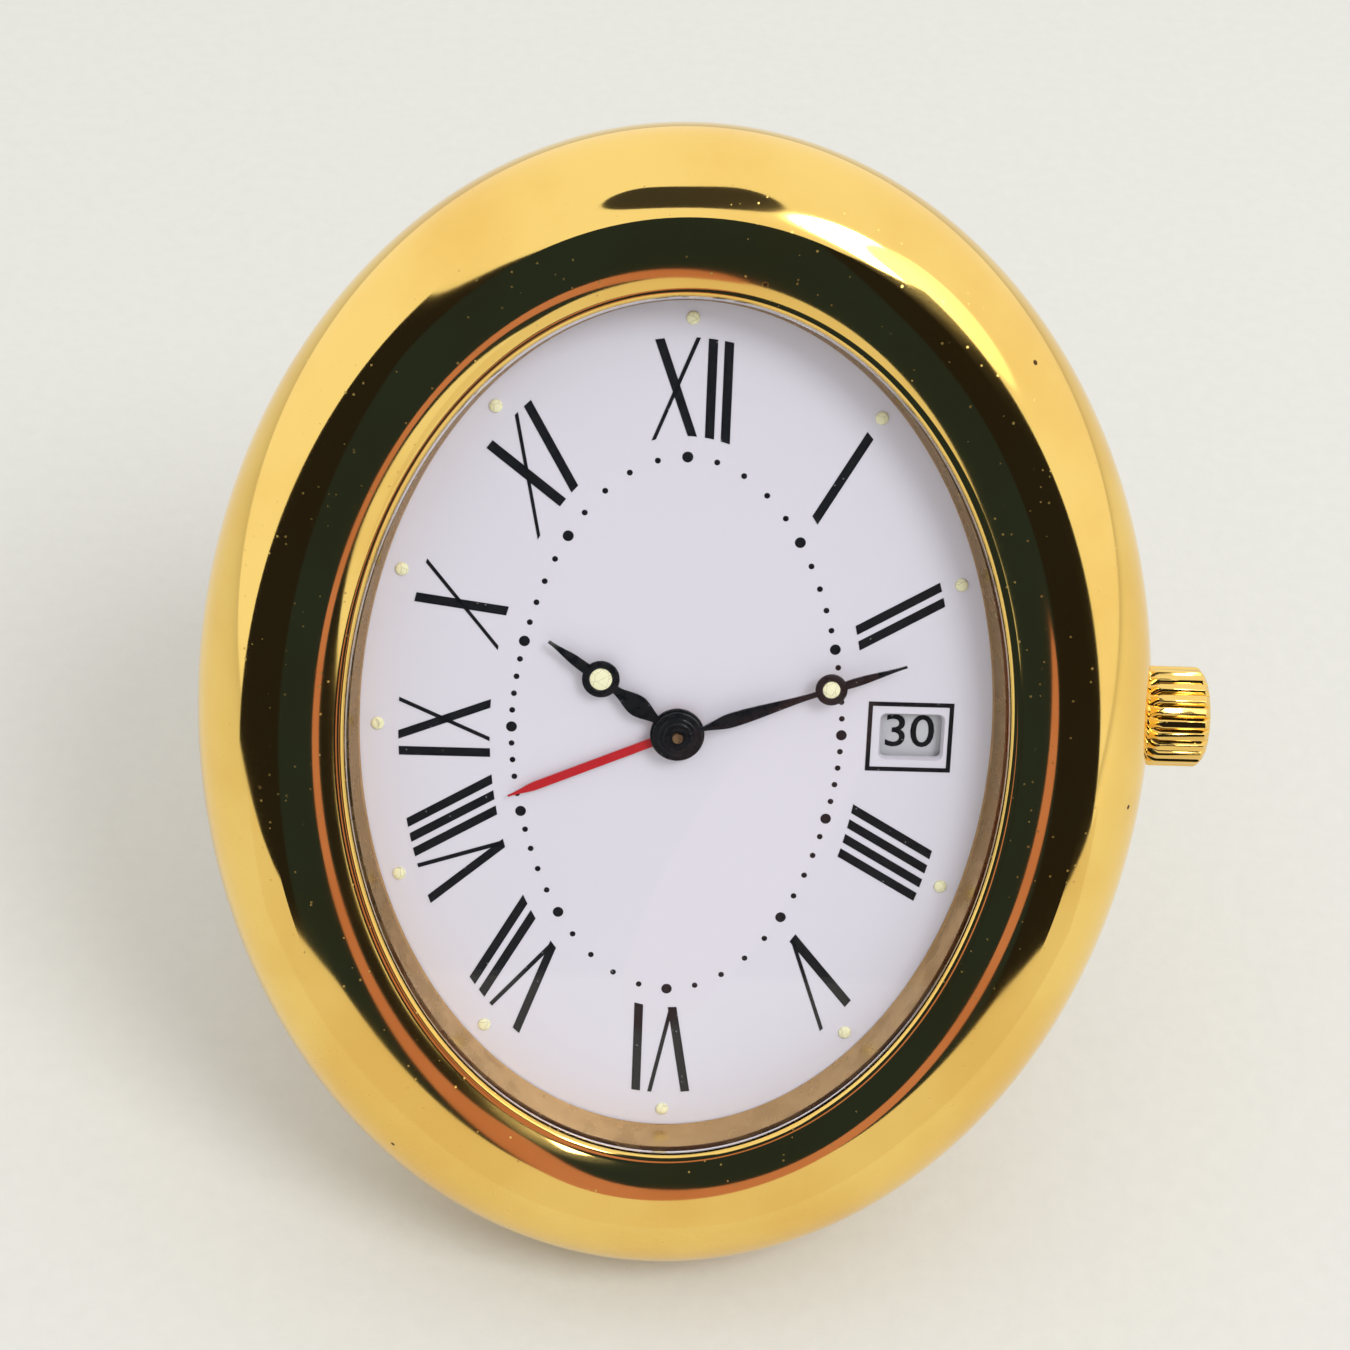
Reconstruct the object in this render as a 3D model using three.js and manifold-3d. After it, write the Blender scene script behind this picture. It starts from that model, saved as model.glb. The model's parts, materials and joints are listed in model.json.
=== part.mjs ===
// Oval gilt quartz alarm clock that leans back on a fold-out leg.
//
// Every piece is drawn in the dial frame: x to the right, y up along the dial, z towards the reader,
// with z = 0 on the dial's printed face and the hands' axis at x = y = 0. The dial frame is then
// leaned back as the clock stands, with +Z up. All lengths are millimetres.

import * as THREE from 'three';
import { mergeVertices } from 'three/addons/utils/BufferGeometryUtils.js';
import Module from 'manifold-3d';

const wasm = await Module();
wasm.setup();

const degrees = THREE.MathUtils.degToRad;

// ---------------------------------------------------------------------------------------------
// Driving dimensions
// ---------------------------------------------------------------------------------------------

const HALF_WIDTH = 22.97;
const HALF_HEIGHT = 28.5;
const LEAN = degrees(28);
const LEG_RAKE = degrees(12);
const GAP = 0.05;
const SCREW_CLEARANCE = 0.06;
const OVAL_SEGMENTS = 40;

// Outer band of the case: an elliptical section whose widest point lies at BAND.widest
const BAND = { depth: 4.7, widest: -1.3, rise: 4.9, drop: 8.2, backAngle: degrees(75), steps: 5 };
const BACK_RIM = BAND.widest - BAND.drop * Math.sin(BAND.backAngle);

// Insets are measured inwards from the case's widest oval
const LIP = { inset: 7.35, top: 2.85, under: 2.42 };
const SEAT = { inset: 6.75, bottom: 1.5 };
const CAVITY = { inset: 6.2, back: -7.9 };
const COVER_RECESS = { inset: 4.0 };

const CRYSTAL = {
  flangeInset: 6.85,
  flangeTop: 2.22,
  windowInset: 7.45,
  under: 1.95,
  top: 2.85,
  bevel: 0.25,
};
const REHAUT = { outerInset: 6.85, innerInset: 7.5, bottom: 0.05, top: 1.9 };

const DIAL = { inset: 6.4, thickness: 0.4, hole: 1.0, footRadius: 0.25, footReach: 13.65, footLength: 1.4 };
const DATE_WINDOW = { x: 11.3, width: 3.1, height: 2.3, corner: 0.3 };

const ARBOR_RADIUS = 0.25;
const CANNON_PIPE = { bore: 0.3, radius: 0.45 };
const HOUR_PIPE = { bore: 0.5, radius: 0.66 };
const ALARM_PIPE = { bore: 0.71, radius: 0.88 };

// Hands: clockwise angle from twelve, layer heights, lengths and eyes
const MINUTE_HAND = {
  angle: 70.7,
  low: 0.85,
  high: 0.97,
  hub: 1.2,
  root: [1.0, 0.1],
  belly: [2.6, 0.36],
  eye: 7.6,
  eyeReach: 0.6,
  neck: 0.14,
  throat: 0.24,
  ring: 0.7,
  lume: 0.46,
  tip: [11.4, 0.06],
};
const HOUR_HAND = {
  angle: 305.5,
  low: 0.55,
  high: 0.67,
  hub: 1.3,
  root: [1.0, 0.2],
  belly: [2.3, 0.52],
  eye: 4.57,
  eyeReach: 0.7,
  neck: 0.22,
  throat: 0.3,
  ring: 0.86,
  lume: 0.58,
  tip: [7.65, 0.07],
};
const ALARM_HAND = {
  angle: 247,
  low: 0.28,
  high: 0.38,
  hub: 1.3,
  halfWidth: 0.22,
  taper: 7.0,
  tip: [8.7, 0.05],
};
const ARBOR_TOP = 1.25;

// Wheels: number of teeth and module
const FINE = 0.13;
const MEDIUM = 0.15;
const COARSE = 0.1875;
const TEETH = {
  rotor: 6,
  trainWheel: 45,
  trainPinion: 6,
  centre: 48,
  cannon: 8,
  minuteWheel: 24,
  minutePinion: 8,
  hourLarge: 32,
  hourSmall: 16,
  alarm: 32,
  alarmSetting: 20,
  setting: 16,
  dateIntermediate: 24,
  dateDrive: 32,
  dateDisc: 31,
  stem: 8,
};

const MOVEMENT_RADIUS = 14.1;
const MAIN_PLATE = { back: -3.3, well: -1.95, shelf: -1.05, rim: -0.45, wellRadius: 8.6, shelfRadius: 13.25 };
const DATE_DISC = { low: -1.0, high: -0.72, outer: 13.05, root: 9.3, tip: 8.75 };
const GUARD = { low: -0.65, high: -0.55, radius: 9.6 };

const STEM_HEIGHT = -4.46;
const STEM = { radius: 0.4, inner: 5.2, outer: 25.4, grooveStart: 9.2, grooveEnd: 10.1, grooveRadius: 0.2 };
const CROWN = {
  radius: 2.5,
  inner: 23.1,
  outer: 26.4,
  chamfer: 0.45,
  flutes: 24,
  fluteDepth: 0.2,
  cup: 1.75,
};
const CROWN_TUBE = { bore: 0.65, radius: 1.1, inner: 16.9, outer: 24.45 };
const CROWN_GASKET = { radius: 1.7, inner: 23.25, outer: 23.7 };
const STEM_PINION = { module: 0.18, inner: 5.7, outer: 6.5 };

const COVER = { inset: 4.1, inside: -8.25, flange: -9.2, plateauInset: 6.1, slope: 0.3, plateau: -9.9 };
const SEALS = { frontLow: 2.25, frontHigh: 2.4, backOuter: 5.6, backInner: 6.15 };
const COVER_SCREW = { inset: 5.0, shank: 0.5, hole: 0.6, head: 0.85, headHeight: 0.45, tip: -5.6 };

const LEG = { hingeY: 12, hingeZ: -9.35, thickness: 1.2, heel: 1.1, topHalfWidth: 5.0, footHalfWidth: 6.3 };
const LEG_POCKET = { floor: -8.7, side: 0.25, end: 0.3, heelRoom: 0.15 };
const HINGE_PIN = { radius: 0.35, halfLength: 7.2, endPlay: 0.2 };

// ---------------------------------------------------------------------------------------------
// Solid helpers
// ---------------------------------------------------------------------------------------------

// Welds shared vertices, drops collapsed triangles and turns every face outwards
function closed(geometry) {
  const bare = geometry.clone();
  for (const name of Object.keys(bare.attributes)) {
    if (name !== 'position') {
      bare.deleteAttribute(name);
    }
  }
  const welded = mergeVertices(bare, 1e-4);
  const position = welded.attributes.position;
  const corners = welded.index.array;
  const a = new THREE.Vector3();
  const b = new THREE.Vector3();
  const c = new THREE.Vector3();
  const kept = [];
  let volume = 0;
  for (let i = 0; i < corners.length; i += 3) {
    const [p, q, r] = [corners[i], corners[i + 1], corners[i + 2]];
    if (p === q || q === r || r === p) {
      continue;
    }
    kept.push([p, q, r]);
    a.fromBufferAttribute(position, p);
    b.fromBufferAttribute(position, q);
    c.fromBufferAttribute(position, r);
    volume += a.dot(b.cross(c));
  }
  const outward = volume > 0 ? kept : kept.map(([p, q, r]) => [p, r, q]);
  const result = new THREE.BufferGeometry();
  result.setAttribute('position', position);
  result.setIndex(outward.flat());
  return result;
}

function toManifold(geometry) {
  const solid = closed(geometry);
  const vertProperties = new Float32Array(solid.attributes.position.array);
  const triVerts = new Uint32Array(solid.index.array);
  return new wasm.Manifold(new wasm.Mesh({ numProp: 3, vertProperties, triVerts }));
}

function fromManifold(manifold) {
  const mesh = manifold.getMesh();
  const result = new THREE.BufferGeometry();
  result.setAttribute('position', new THREE.BufferAttribute(new Float32Array(mesh.vertProperties), 3));
  result.setIndex(new THREE.BufferAttribute(new Uint32Array(mesh.triVerts), 1));
  return result;
}

function join(first, ...others) {
  return fromManifold(others.reduce((whole, other) => whole.add(toManifold(other)), toManifold(first)));
}

function cut(first, ...tools) {
  return fromManifold(tools.reduce((whole, tool) => whole.subtract(toManifold(tool)), toManifold(first)));
}

function common(first, second) {
  return fromManifold(toManifold(first).intersect(toManifold(second)));
}

// Turns a profile of [radius, z] points about the z axis
function turned(profile, segments = 16) {
  const points = profile.map(([radius, z]) => new THREE.Vector2(radius, z));
  return closed(new THREE.LatheGeometry(points, segments).rotateX(Math.PI / 2));
}

// Sweeps a profile of [inset, z] points round the case's oval; AXIS is the inset of the middle
const AXIS = HALF_WIDTH;

function turnedOval(profile) {
  const stretch = HALF_HEIGHT - HALF_WIDTH;
  const round = turned(profile.map(([inset, z]) => [HALF_WIDTH - inset, z]), OVAL_SEGMENTS);
  const position = round.attributes.position;
  for (let i = 0; i < position.count; i += 1) {
    const radius = Math.hypot(position.getX(i), position.getY(i));
    if (radius > 0.01) {
      position.setY(i, position.getY(i) * (1 + stretch / radius));
    }
  }
  return closed(round);
}

function ovalRing(outerInset, innerInset, low, high) {
  return turnedOval([
    [outerInset, low],
    [outerInset, high],
    [innerInset, high],
    [innerInset, low],
    [outerInset, low],
  ]);
}

function ovalPlate(inset, low, high) {
  return turnedOval([
    [AXIS, low],
    [inset, low],
    [inset, high],
    [AXIS, high],
  ]);
}

function ring(bore, radius, low, high, segments = 16) {
  return turned([[bore, low], [radius, low], [radius, high], [bore, high], [bore, low]], segments);
}

function rod(radius, low, high, x = 0, y = 0, segments = 12) {
  const height = high - low;
  return new THREE.CylinderGeometry(radius, radius, height, segments)
    .rotateX(Math.PI / 2)
    .translate(x, y, (low + high) / 2);
}

function plate(shape, low, high, curveSegments = 6) {
  const options = { depth: high - low, bevelEnabled: false, curveSegments };
  return closed(new THREE.ExtrudeGeometry(shape, options).translate(0, 0, low));
}

function block(x0, x1, y0, y1, z0, z1) {
  const box = new THREE.BoxGeometry(x1 - x0, y1 - y0, z1 - z0);
  return box.translate((x0 + x1) / 2, (y0 + y1) / 2, (z0 + z1) / 2);
}

function polygon(points) {
  return new THREE.Shape(points.map(([x, y]) => new THREE.Vector2(x, y)));
}

function roundedRectangle(width, height, corner) {
  const shape = new THREE.Shape();
  const [x, y] = [width / 2 - corner, height / 2 - corner];
  shape.absarc(x, y, corner, 0, Math.PI / 2);
  shape.absarc(-x, y, corner, Math.PI / 2, Math.PI);
  shape.absarc(-x, -y, corner, Math.PI, 1.5 * Math.PI);
  shape.absarc(x, -y, corner, 1.5 * Math.PI, 2 * Math.PI);
  return shape;
}

// Lays a piece drawn about the z axis along the winding stem: its z becomes the dial's x
function alongStem(geometry) {
  return geometry.rotateY(Math.PI / 2).translate(0, 0, STEM_HEIGHT);
}

// ---------------------------------------------------------------------------------------------
// Wheels
// ---------------------------------------------------------------------------------------------

// A tooth is a plain wedge; its heights above and below the pitch circle are shares of the module
const TOOTH = { addendum: 0.9, dedendum: 1.15 };

function toothedOutline(path, teeth, rootRadius, tipRadius) {
  const points = [];
  for (let corner = 0; corner < 2 * teeth; corner += 1) {
    const angle = (Math.PI * corner) / teeth;
    const radius = corner % 2 === 0 ? tipRadius : rootRadius;
    points.push(new THREE.Vector2(radius * Math.cos(angle), radius * Math.sin(angle)));
  }
  return path.setFromPoints([...points, points[0]]);
}

function pitchRadius(teeth, module) {
  return (teeth * module) / 2;
}

function gear(teeth, module, low, high, bore = 0) {
  const pitch = pitchRadius(teeth, module);
  const root = pitch - TOOTH.dedendum * module;
  const tip = pitch + TOOTH.addendum * module;
  const shape = toothedOutline(new THREE.Shape(), teeth, root, tip);
  if (bore > 0) {
    shape.holes.push(new THREE.Path().absarc(0, 0, bore, 0, 2 * Math.PI));
  }
  return plate(shape, low, high);
}

// The turn that puts a wheel's teeth in the gaps of the wheel that drives it
function meshedTurn(direction, driverTurn, driverTeeth, teeth) {
  return direction + Math.PI - ((driverTurn - direction) * driverTeeth + Math.PI) / teeth;
}

function polar(distance, angle, from = [0, 0]) {
  return [from[0] + distance * Math.cos(angle), from[1] + distance * Math.sin(angle)];
}

// Where the wheels sit: each is a distance and a direction from the wheel that it meshes with
const PLACES = (() => {
  const minute = polar(pitchRadius(TEETH.cannon + TEETH.minuteWheel, COARSE), degrees(30));
  const setting = polar(pitchRadius(TEETH.minuteWheel + TEETH.setting, COARSE), degrees(-13), minute);
  const alarmSetting = polar(pitchRadius(TEETH.alarm + TEETH.alarmSetting, MEDIUM), degrees(200));
  const dateIntermediate = polar(pitchRadius(TEETH.hourSmall + TEETH.dateIntermediate, MEDIUM), degrees(-50));
  const dateDriveDistance = pitchRadius(TEETH.dateIntermediate + TEETH.dateDrive, MEDIUM);
  const dateDrive = polar(dateDriveDistance, degrees(-129), dateIntermediate);
  const train = polar(pitchRadius(TEETH.centre + TEETH.trainPinion, FINE), degrees(120));
  const rotor = polar(pitchRadius(TEETH.trainWheel + TEETH.rotor, FINE), degrees(150), train);
  return { minute, setting, alarmSetting, dateIntermediate, dateDrive, train, rotor };
})();

const TURNS = (() => {
  const minute = meshedTurn(degrees(30), 0, TEETH.cannon, TEETH.minuteWheel);
  const setting = meshedTurn(degrees(-13), minute, TEETH.minuteWheel, TEETH.setting);
  const hour = meshedTurn(degrees(210), minute, TEETH.minutePinion, TEETH.hourLarge);
  const dateIntermediate = meshedTurn(degrees(-50), hour, TEETH.hourSmall, TEETH.dateIntermediate);
  const dateDrive = meshedTurn(degrees(-129), dateIntermediate, TEETH.dateIntermediate, TEETH.dateDrive);
  const alarmSetting = meshedTurn(degrees(200), 0, TEETH.alarm, TEETH.alarmSetting);
  const train = meshedTurn(degrees(120), 0, TEETH.centre, TEETH.trainPinion);
  const rotor = meshedTurn(degrees(150), train, TEETH.trainWheel, TEETH.rotor);
  return { minute, setting, hour, dateIntermediate, dateDrive, alarmSetting, train, rotor };
})();

// ---------------------------------------------------------------------------------------------
// Case, crystal and back
// ---------------------------------------------------------------------------------------------

function bandPoint(angle) {
  const reach = angle < 0 ? BAND.drop : BAND.rise;
  return [BAND.depth * (1 - Math.cos(angle)), BAND.widest + reach * Math.sin(angle)];
}

function frontCase() {
  const profile = [];
  for (let step = -BAND.steps; step <= BAND.steps; step += 1) {
    const limit = step < 0 ? BAND.backAngle : Math.PI / 2;
    profile.push(bandPoint((step / BAND.steps) * limit));
  }
  const crest = BAND.widest + BAND.rise;
  for (const share of [0.5, 1]) {
    const inset = BAND.depth + share * (LIP.inset - BAND.depth);
    profile.push([inset, crest - share ** 2 * (crest - LIP.top)]);
  }
  profile.push([LIP.inset, LIP.under]);
  profile.push([SEAT.inset, LIP.under]);
  profile.push([SEAT.inset, SEAT.bottom]);
  profile.push([CAVITY.inset, SEAT.bottom]);
  profile.push([CAVITY.inset, CAVITY.back]);
  profile.push([COVER_RECESS.inset, CAVITY.back]);
  profile.push([COVER_RECESS.inset, BACK_RIM]);
  profile.push(profile[0]);
  const tubeHole = alongStem(rod(CROWN_TUBE.radius + GAP, 15.5, 24, 0, 0, 20));
  const screwHoles = coverScrewPlaces().map(([x, y]) => {
    return rod(COVER_SCREW.hole, CAVITY.back - 1, COVER_SCREW.tip + 0.2, x, y);
  });
  return cut(turnedOval(profile), tubeHole, ...screwHoles);
}

function coverScrewPlaces() {
  const places = [];
  for (const angle of [45, 135, 225, 315].map(degrees)) {
    const x = (HALF_WIDTH - COVER_SCREW.inset) * Math.cos(angle);
    const y = (HALF_HEIGHT - COVER_SCREW.inset) * Math.sin(angle);
    places.push([x, y]);
  }
  return places;
}

function crystal() {
  return turnedOval([
    [AXIS, CRYSTAL.under],
    [CRYSTAL.flangeInset, CRYSTAL.under],
    [CRYSTAL.flangeInset, CRYSTAL.flangeTop],
    [CRYSTAL.windowInset, CRYSTAL.flangeTop],
    [CRYSTAL.windowInset, CRYSTAL.top - CRYSTAL.bevel],
    [CRYSTAL.windowInset + CRYSTAL.bevel, CRYSTAL.top],
    [AXIS, CRYSTAL.top],
  ]);
}

// The leg's outline seen from behind, grown all round by a margin; y is measured from the hinge
function legOutline(margin, topY, bottomY) {
  const widen = (LEG.footHalfWidth - LEG.topHalfWidth) / -bottomY;
  const halfWidthAt = (y) => LEG.topHalfWidth + margin - y * widen;
  return polygon([
    [halfWidthAt(topY), topY],
    [-halfWidthAt(topY), topY],
    [-halfWidthAt(bottomY), bottomY],
    [halfWidthAt(bottomY), bottomY],
  ]);
}

// Height of a dial-frame point above the hands' axis once the clock leans back
function leanedHeight(y, z) {
  return y * Math.cos(LEAN) + z * Math.sin(LEAN);
}

// The case rests where its leaned band is lowest
const STAND_LEVEL =
  leanedHeight(BAND.depth - HALF_HEIGHT, BAND.widest) -
  Math.hypot(BAND.depth * Math.cos(LEAN), BAND.drop * Math.sin(LEAN));
const LEG_LENGTH = (leanedHeight(LEG.hingeY, LEG.hingeZ) - STAND_LEVEL) / Math.cos(LEG_RAKE);
const LEG_OPENING = LEAN + LEG_RAKE;

function backCover() {
  const body = turnedOval([
    [AXIS, COVER.inside],
    [COVER.inset, COVER.inside],
    [COVER.inset, COVER.flange],
    [COVER.plateauInset, COVER.flange],
    [COVER.plateauInset + COVER.slope, COVER.plateau],
    [AXIS, COVER.plateau],
  ]);
  const pocketTop = Math.hypot(LEG.heel, LEG.thickness / 2) + LEG_POCKET.heelRoom;
  const pocketShape = legOutline(LEG_POCKET.side, pocketTop, -LEG_LENGTH - LEG_POCKET.end);
  const pocket = plate(pocketShape, COVER.plateau - 1, LEG_POCKET.floor);
  const pinReach = HINGE_PIN.halfLength + HINGE_PIN.endPlay;
  const pinHole = rod(HINGE_PIN.radius + GAP, -pinReach, pinReach)
    .rotateY(Math.PI / 2)
    .translate(0, LEG.hingeY, LEG.hingeZ);
  const screwHoles = coverScrewPlaces().map(([x, y]) => {
    return rod(COVER_SCREW.hole, COVER.flange - 1, COVER.inside + 1, x, y);
  });
  return cut(body, pocket.translate(0, LEG.hingeY, 0), pinHole, ...screwHoles);
}

function coverScrew() {
  const shankLength = COVER_SCREW.tip - COVER.flange;
  const shank = turned([
    [0, -COVER_SCREW.headHeight],
    [COVER_SCREW.head - 0.12, -COVER_SCREW.headHeight],
    [COVER_SCREW.head, -COVER_SCREW.headHeight + 0.15],
    [COVER_SCREW.head, -GAP],
    [COVER_SCREW.shank, -GAP],
    [COVER_SCREW.shank, shankLength],
    [0, shankLength],
  ], 16);
  const slot = block(-1, 1, -0.12, 0.12, -1, -COVER_SCREW.headHeight + 0.22);
  return cut(shank, slot);
}

// The leg folded along the back: hinge pin at the origin, foot towards -y, outer face towards -z.
// Its heel is cut off at the opening angle, so it lies flat on the pocket's floor when the leg is out.
function standLeg() {
  const half = LEG.thickness / 2;
  const bevelStart = (half * (1 - Math.cos(LEG_OPENING))) / Math.sin(LEG_OPENING);
  const bevelEnd = (half - LEG.heel * Math.sin(LEG_OPENING)) / Math.cos(LEG_OPENING);
  const footShift = half * Math.tan(LEG_RAKE);
  const side = polygon([
    [-LEG_LENGTH + footShift, half],
    [bevelStart, half],
    [LEG.heel, bevelEnd],
    [LEG.heel, -half],
    [-LEG_LENGTH - footShift, -half],
  ]);
  const reach = LEG.footHalfWidth + 1;
  const sideView = new THREE.Matrix4().makeBasis(
    new THREE.Vector3(0, 1, 0),
    new THREE.Vector3(0, 0, 1),
    new THREE.Vector3(1, 0, 0),
  );
  const upright = plate(side, -reach, reach).applyMatrix4(sideView);
  const outline = plate(legOutline(0, LEG.heel + 1, -LEG_LENGTH - 1), -1, 1);
  const pinHole = rod(HINGE_PIN.radius + GAP, -reach, reach).rotateY(Math.PI / 2);
  return cut(common(upright, outline), pinHole);
}

// ---------------------------------------------------------------------------------------------
// Hands and dial
// ---------------------------------------------------------------------------------------------

// A hand points along +y before it is turned; its edge is given as [distance, half width] points
function handBlade(edge, low, high) {
  const right = edge.map(([along, half]) => [half, along]);
  const left = [...edge].reverse().map(([along, half]) => [-half, along]);
  return plate(polygon([...right, ...left]), low, high);
}

function eyedHand(hand, pipeRadius) {
  const hub = ring(pipeRadius + GAP, hand.hub, hand.low, hand.high);
  const edge = [
    hand.root,
    hand.belly,
    [hand.eye - hand.eyeReach, hand.neck],
    [hand.eye + hand.eyeReach, hand.throat],
    hand.tip,
  ];
  const blade = handBlade(edge, hand.low, hand.high);
  const eye = rod(hand.ring, hand.low, hand.high, 0, hand.eye, 16);
  const hole = rod(hand.lume + GAP, hand.low - 1, hand.high + 1, 0, hand.eye, 16);
  return cut(join(hub, blade, eye), hole);
}

function lumeFor(hand) {
  return rod(hand.lume, hand.low, hand.high, 0, hand.eye, 16);
}

function alarmHand() {
  const { low, high, hub, halfWidth, taper, tip } = ALARM_HAND;
  const edge = [[hub - 0.2, halfWidth], [taper, halfWidth], tip];
  return join(ring(ALARM_PIPE.radius + GAP, hub, low, high), handBlade(edge, low, high));
}

function dial() {
  const body = ovalPlate(DIAL.inset, -DIAL.thickness, 0);
  const window = roundedRectangle(DATE_WINDOW.width, DATE_WINDOW.height, DATE_WINDOW.corner);
  const aperture = plate(window, -DIAL.thickness - 1, 1, 3).translate(DATE_WINDOW.x, 0, 0);
  const centreHole = rod(DIAL.hole, -DIAL.thickness - 1, 1, 0, 0, 24);
  const feet = dialFootPlaces().map(([x, y]) => {
    return rod(DIAL.footRadius, -DIAL.footLength, -DIAL.thickness / 2, x, y, 12);
  });
  return join(cut(body, aperture, centreHole), ...feet);
}

function dialFootPlaces() {
  return [polar(DIAL.footReach, degrees(100)), polar(DIAL.footReach, degrees(280))];
}

// ---------------------------------------------------------------------------------------------
// Motion work and calendar, in front of the main plate
// ---------------------------------------------------------------------------------------------

const LAYERS = {
  alarm: [-0.9, -0.72],
  small: [-1.2, -1.05],
  large: [-1.5, -1.3],
  cannon: [-1.85, -1.65],
};
const FINGER = { low: -1.04, high: -0.94, reach: 8.55, halfWidth: 0.3 };
const PLATE_PIVOT_DEPTH = -2.4;
const PIVOT = { minute: 0.2, setting: 0.3, plate: 0.25, play: 0.06 };

function cannonPinion() {
  const pipe = ring(CANNON_PIPE.bore, CANNON_PIPE.radius, LAYERS.cannon[0], MINUTE_HAND.high + 0.08);
  return join(gear(TEETH.cannon, COARSE, ...LAYERS.cannon, CANNON_PIPE.bore), pipe);
}

function hourWheel() {
  const pipe = ring(HOUR_PIPE.bore, HOUR_PIPE.radius, LAYERS.large[0], HOUR_HAND.high);
  const large = gear(TEETH.hourLarge, MEDIUM, ...LAYERS.large, HOUR_PIPE.bore);
  const small = gear(TEETH.hourSmall, MEDIUM, LAYERS.large[0], LAYERS.small[1], HOUR_PIPE.bore);
  return join(large, small, pipe);
}

function alarmWheel() {
  const pipe = ring(ALARM_PIPE.bore, ALARM_PIPE.radius, LAYERS.alarm[0], ALARM_HAND.high);
  return join(gear(TEETH.alarm, MEDIUM, ...LAYERS.alarm, ALARM_PIPE.bore), pipe);
}

function minuteWheel() {
  const pinionTop = LAYERS.large[1] + 0.05;
  return join(
    gear(TEETH.minuteWheel, COARSE, ...LAYERS.cannon),
    gear(TEETH.minutePinion, MEDIUM, LAYERS.cannon[0], pinionTop),
    rod(PIVOT.minute, PLATE_PIVOT_DEPTH, pinionTop),
  );
}

// Its lower teeth, behind the main plate, meet the stem's pinion when the crown is pulled
function settingWheel() {
  const behind = MAIN_PLATE.back - 0.05;
  return join(
    gear(TEETH.setting, COARSE, ...LAYERS.cannon),
    rod(PIVOT.setting, behind - 0.1, LAYERS.cannon[1]),
    gear(TEETH.setting, MEDIUM, behind - 0.2, behind),
  );
}

function platePivoted(teeth, layer, arborTop = layer[1]) {
  return join(gear(teeth, MEDIUM, ...layer), rod(PIVOT.plate, PLATE_PIVOT_DEPTH, arborTop));
}

function dateDriveWheel() {
  const centreDistance = Math.hypot(...PLACES.dateDrive);
  const outwards = Math.atan2(PLACES.dateDrive[1], PLACES.dateDrive[0]) - TURNS.dateDrive;
  const { reach, halfWidth, low, high } = FINGER;
  const finger = block(0, reach - centreDistance, -halfWidth, halfWidth, low, high);
  return join(platePivoted(TEETH.dateDrive, LAYERS.small, high), finger.rotateZ(outwards));
}

function dateDisc() {
  const shape = new THREE.Shape();
  shape.absarc(0, 0, DATE_DISC.outer, 0, 2 * Math.PI);
  shape.holes.push(toothedOutline(new THREE.Path(), TEETH.dateDisc, DATE_DISC.root, DATE_DISC.tip));
  return plate(shape, DATE_DISC.low, DATE_DISC.high, 20);
}

const GUARD_SCREW_ANGLES = [60, 160, 300].map(degrees);
const GUARD_SCREW = { reach: 7.9, shank: 0.3, head: 0.6, headHeight: 0.08, tip: -2.6 };

function guardScrewPlaces() {
  return GUARD_SCREW_ANGLES.map((angle) => polar(GUARD_SCREW.reach, angle));
}

function dateDiscGuard() {
  const holes = guardScrewPlaces().map(([x, y]) => rod(GUARD_SCREW.shank + SCREW_CLEARANCE, -2, 0, x, y, 12));
  return cut(ring(ALARM_PIPE.radius + 0.12, GUARD.radius, GUARD.low, GUARD.high, 24), ...holes);
}

function guardScrew() {
  const seat = GUARD.high + 0.02;
  return turned([
    [0, GUARD_SCREW.tip],
    [GUARD_SCREW.shank, GUARD_SCREW.tip],
    [GUARD_SCREW.shank, seat],
    [GUARD_SCREW.head, seat],
    [GUARD_SCREW.head, seat + GUARD_SCREW.headHeight],
    [0, seat + GUARD_SCREW.headHeight],
  ], 12);
}

// ---------------------------------------------------------------------------------------------
// Main plate, holder, train and motor
// ---------------------------------------------------------------------------------------------

const PILLARS = [[3.4, 5.0], [0.2, -4.8], [-10.9, -1.2]];
const BRIDGE = { low: -6.4, high: -5.88, pillarRadius: 0.8 };
const HOLDER = { low: -6.6, play: 0.2, collar: 1.1, wall: 1.8, floor: 1.3, stemHole: 1.5 };
const BRIDGE_SCREW = { shank: 0.35, head: 0.7, headHeight: 0.3, tip: -4.2 };
const LEVER = { pivot: [9.6, 3.0], stud: 0.38, bore: 0.44, low: -3.75, high: -3.4, nose: 0.2 };
const BATTERY = { x: -6.3, y: -6.2, radius: 4.75, low: -6.28, high: -3.4 };
const CENTRE_WHEEL = [-3.75, -3.55];
const TRAIN_WHEEL = [-4.3, -4.1];
const TRAIN_PIVOT = { radius: 0.15, top: -3.4 };
const ROTOR = { low: -5.3, high: -4.6, radius: 0.9, pivot: 0.14, pinionTop: -4.05 };
const STATOR = { low: -5.25, high: -4.75, length: 12.2, width: 3, slope: degrees(35), bore: 1.15 };
const COIL = {
  offset: 4,
  radius: 1.1,
  length: 8,
  coreWidth: 1.4,
  coreThickness: 0.5,
  armWidth: 1.4,
  gap: 0.06,
};
const BOARD = { low: -5.76, high: -5.44, inner: 4.6, outer: 13.6, start: degrees(-72), end: degrees(-14) };

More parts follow.
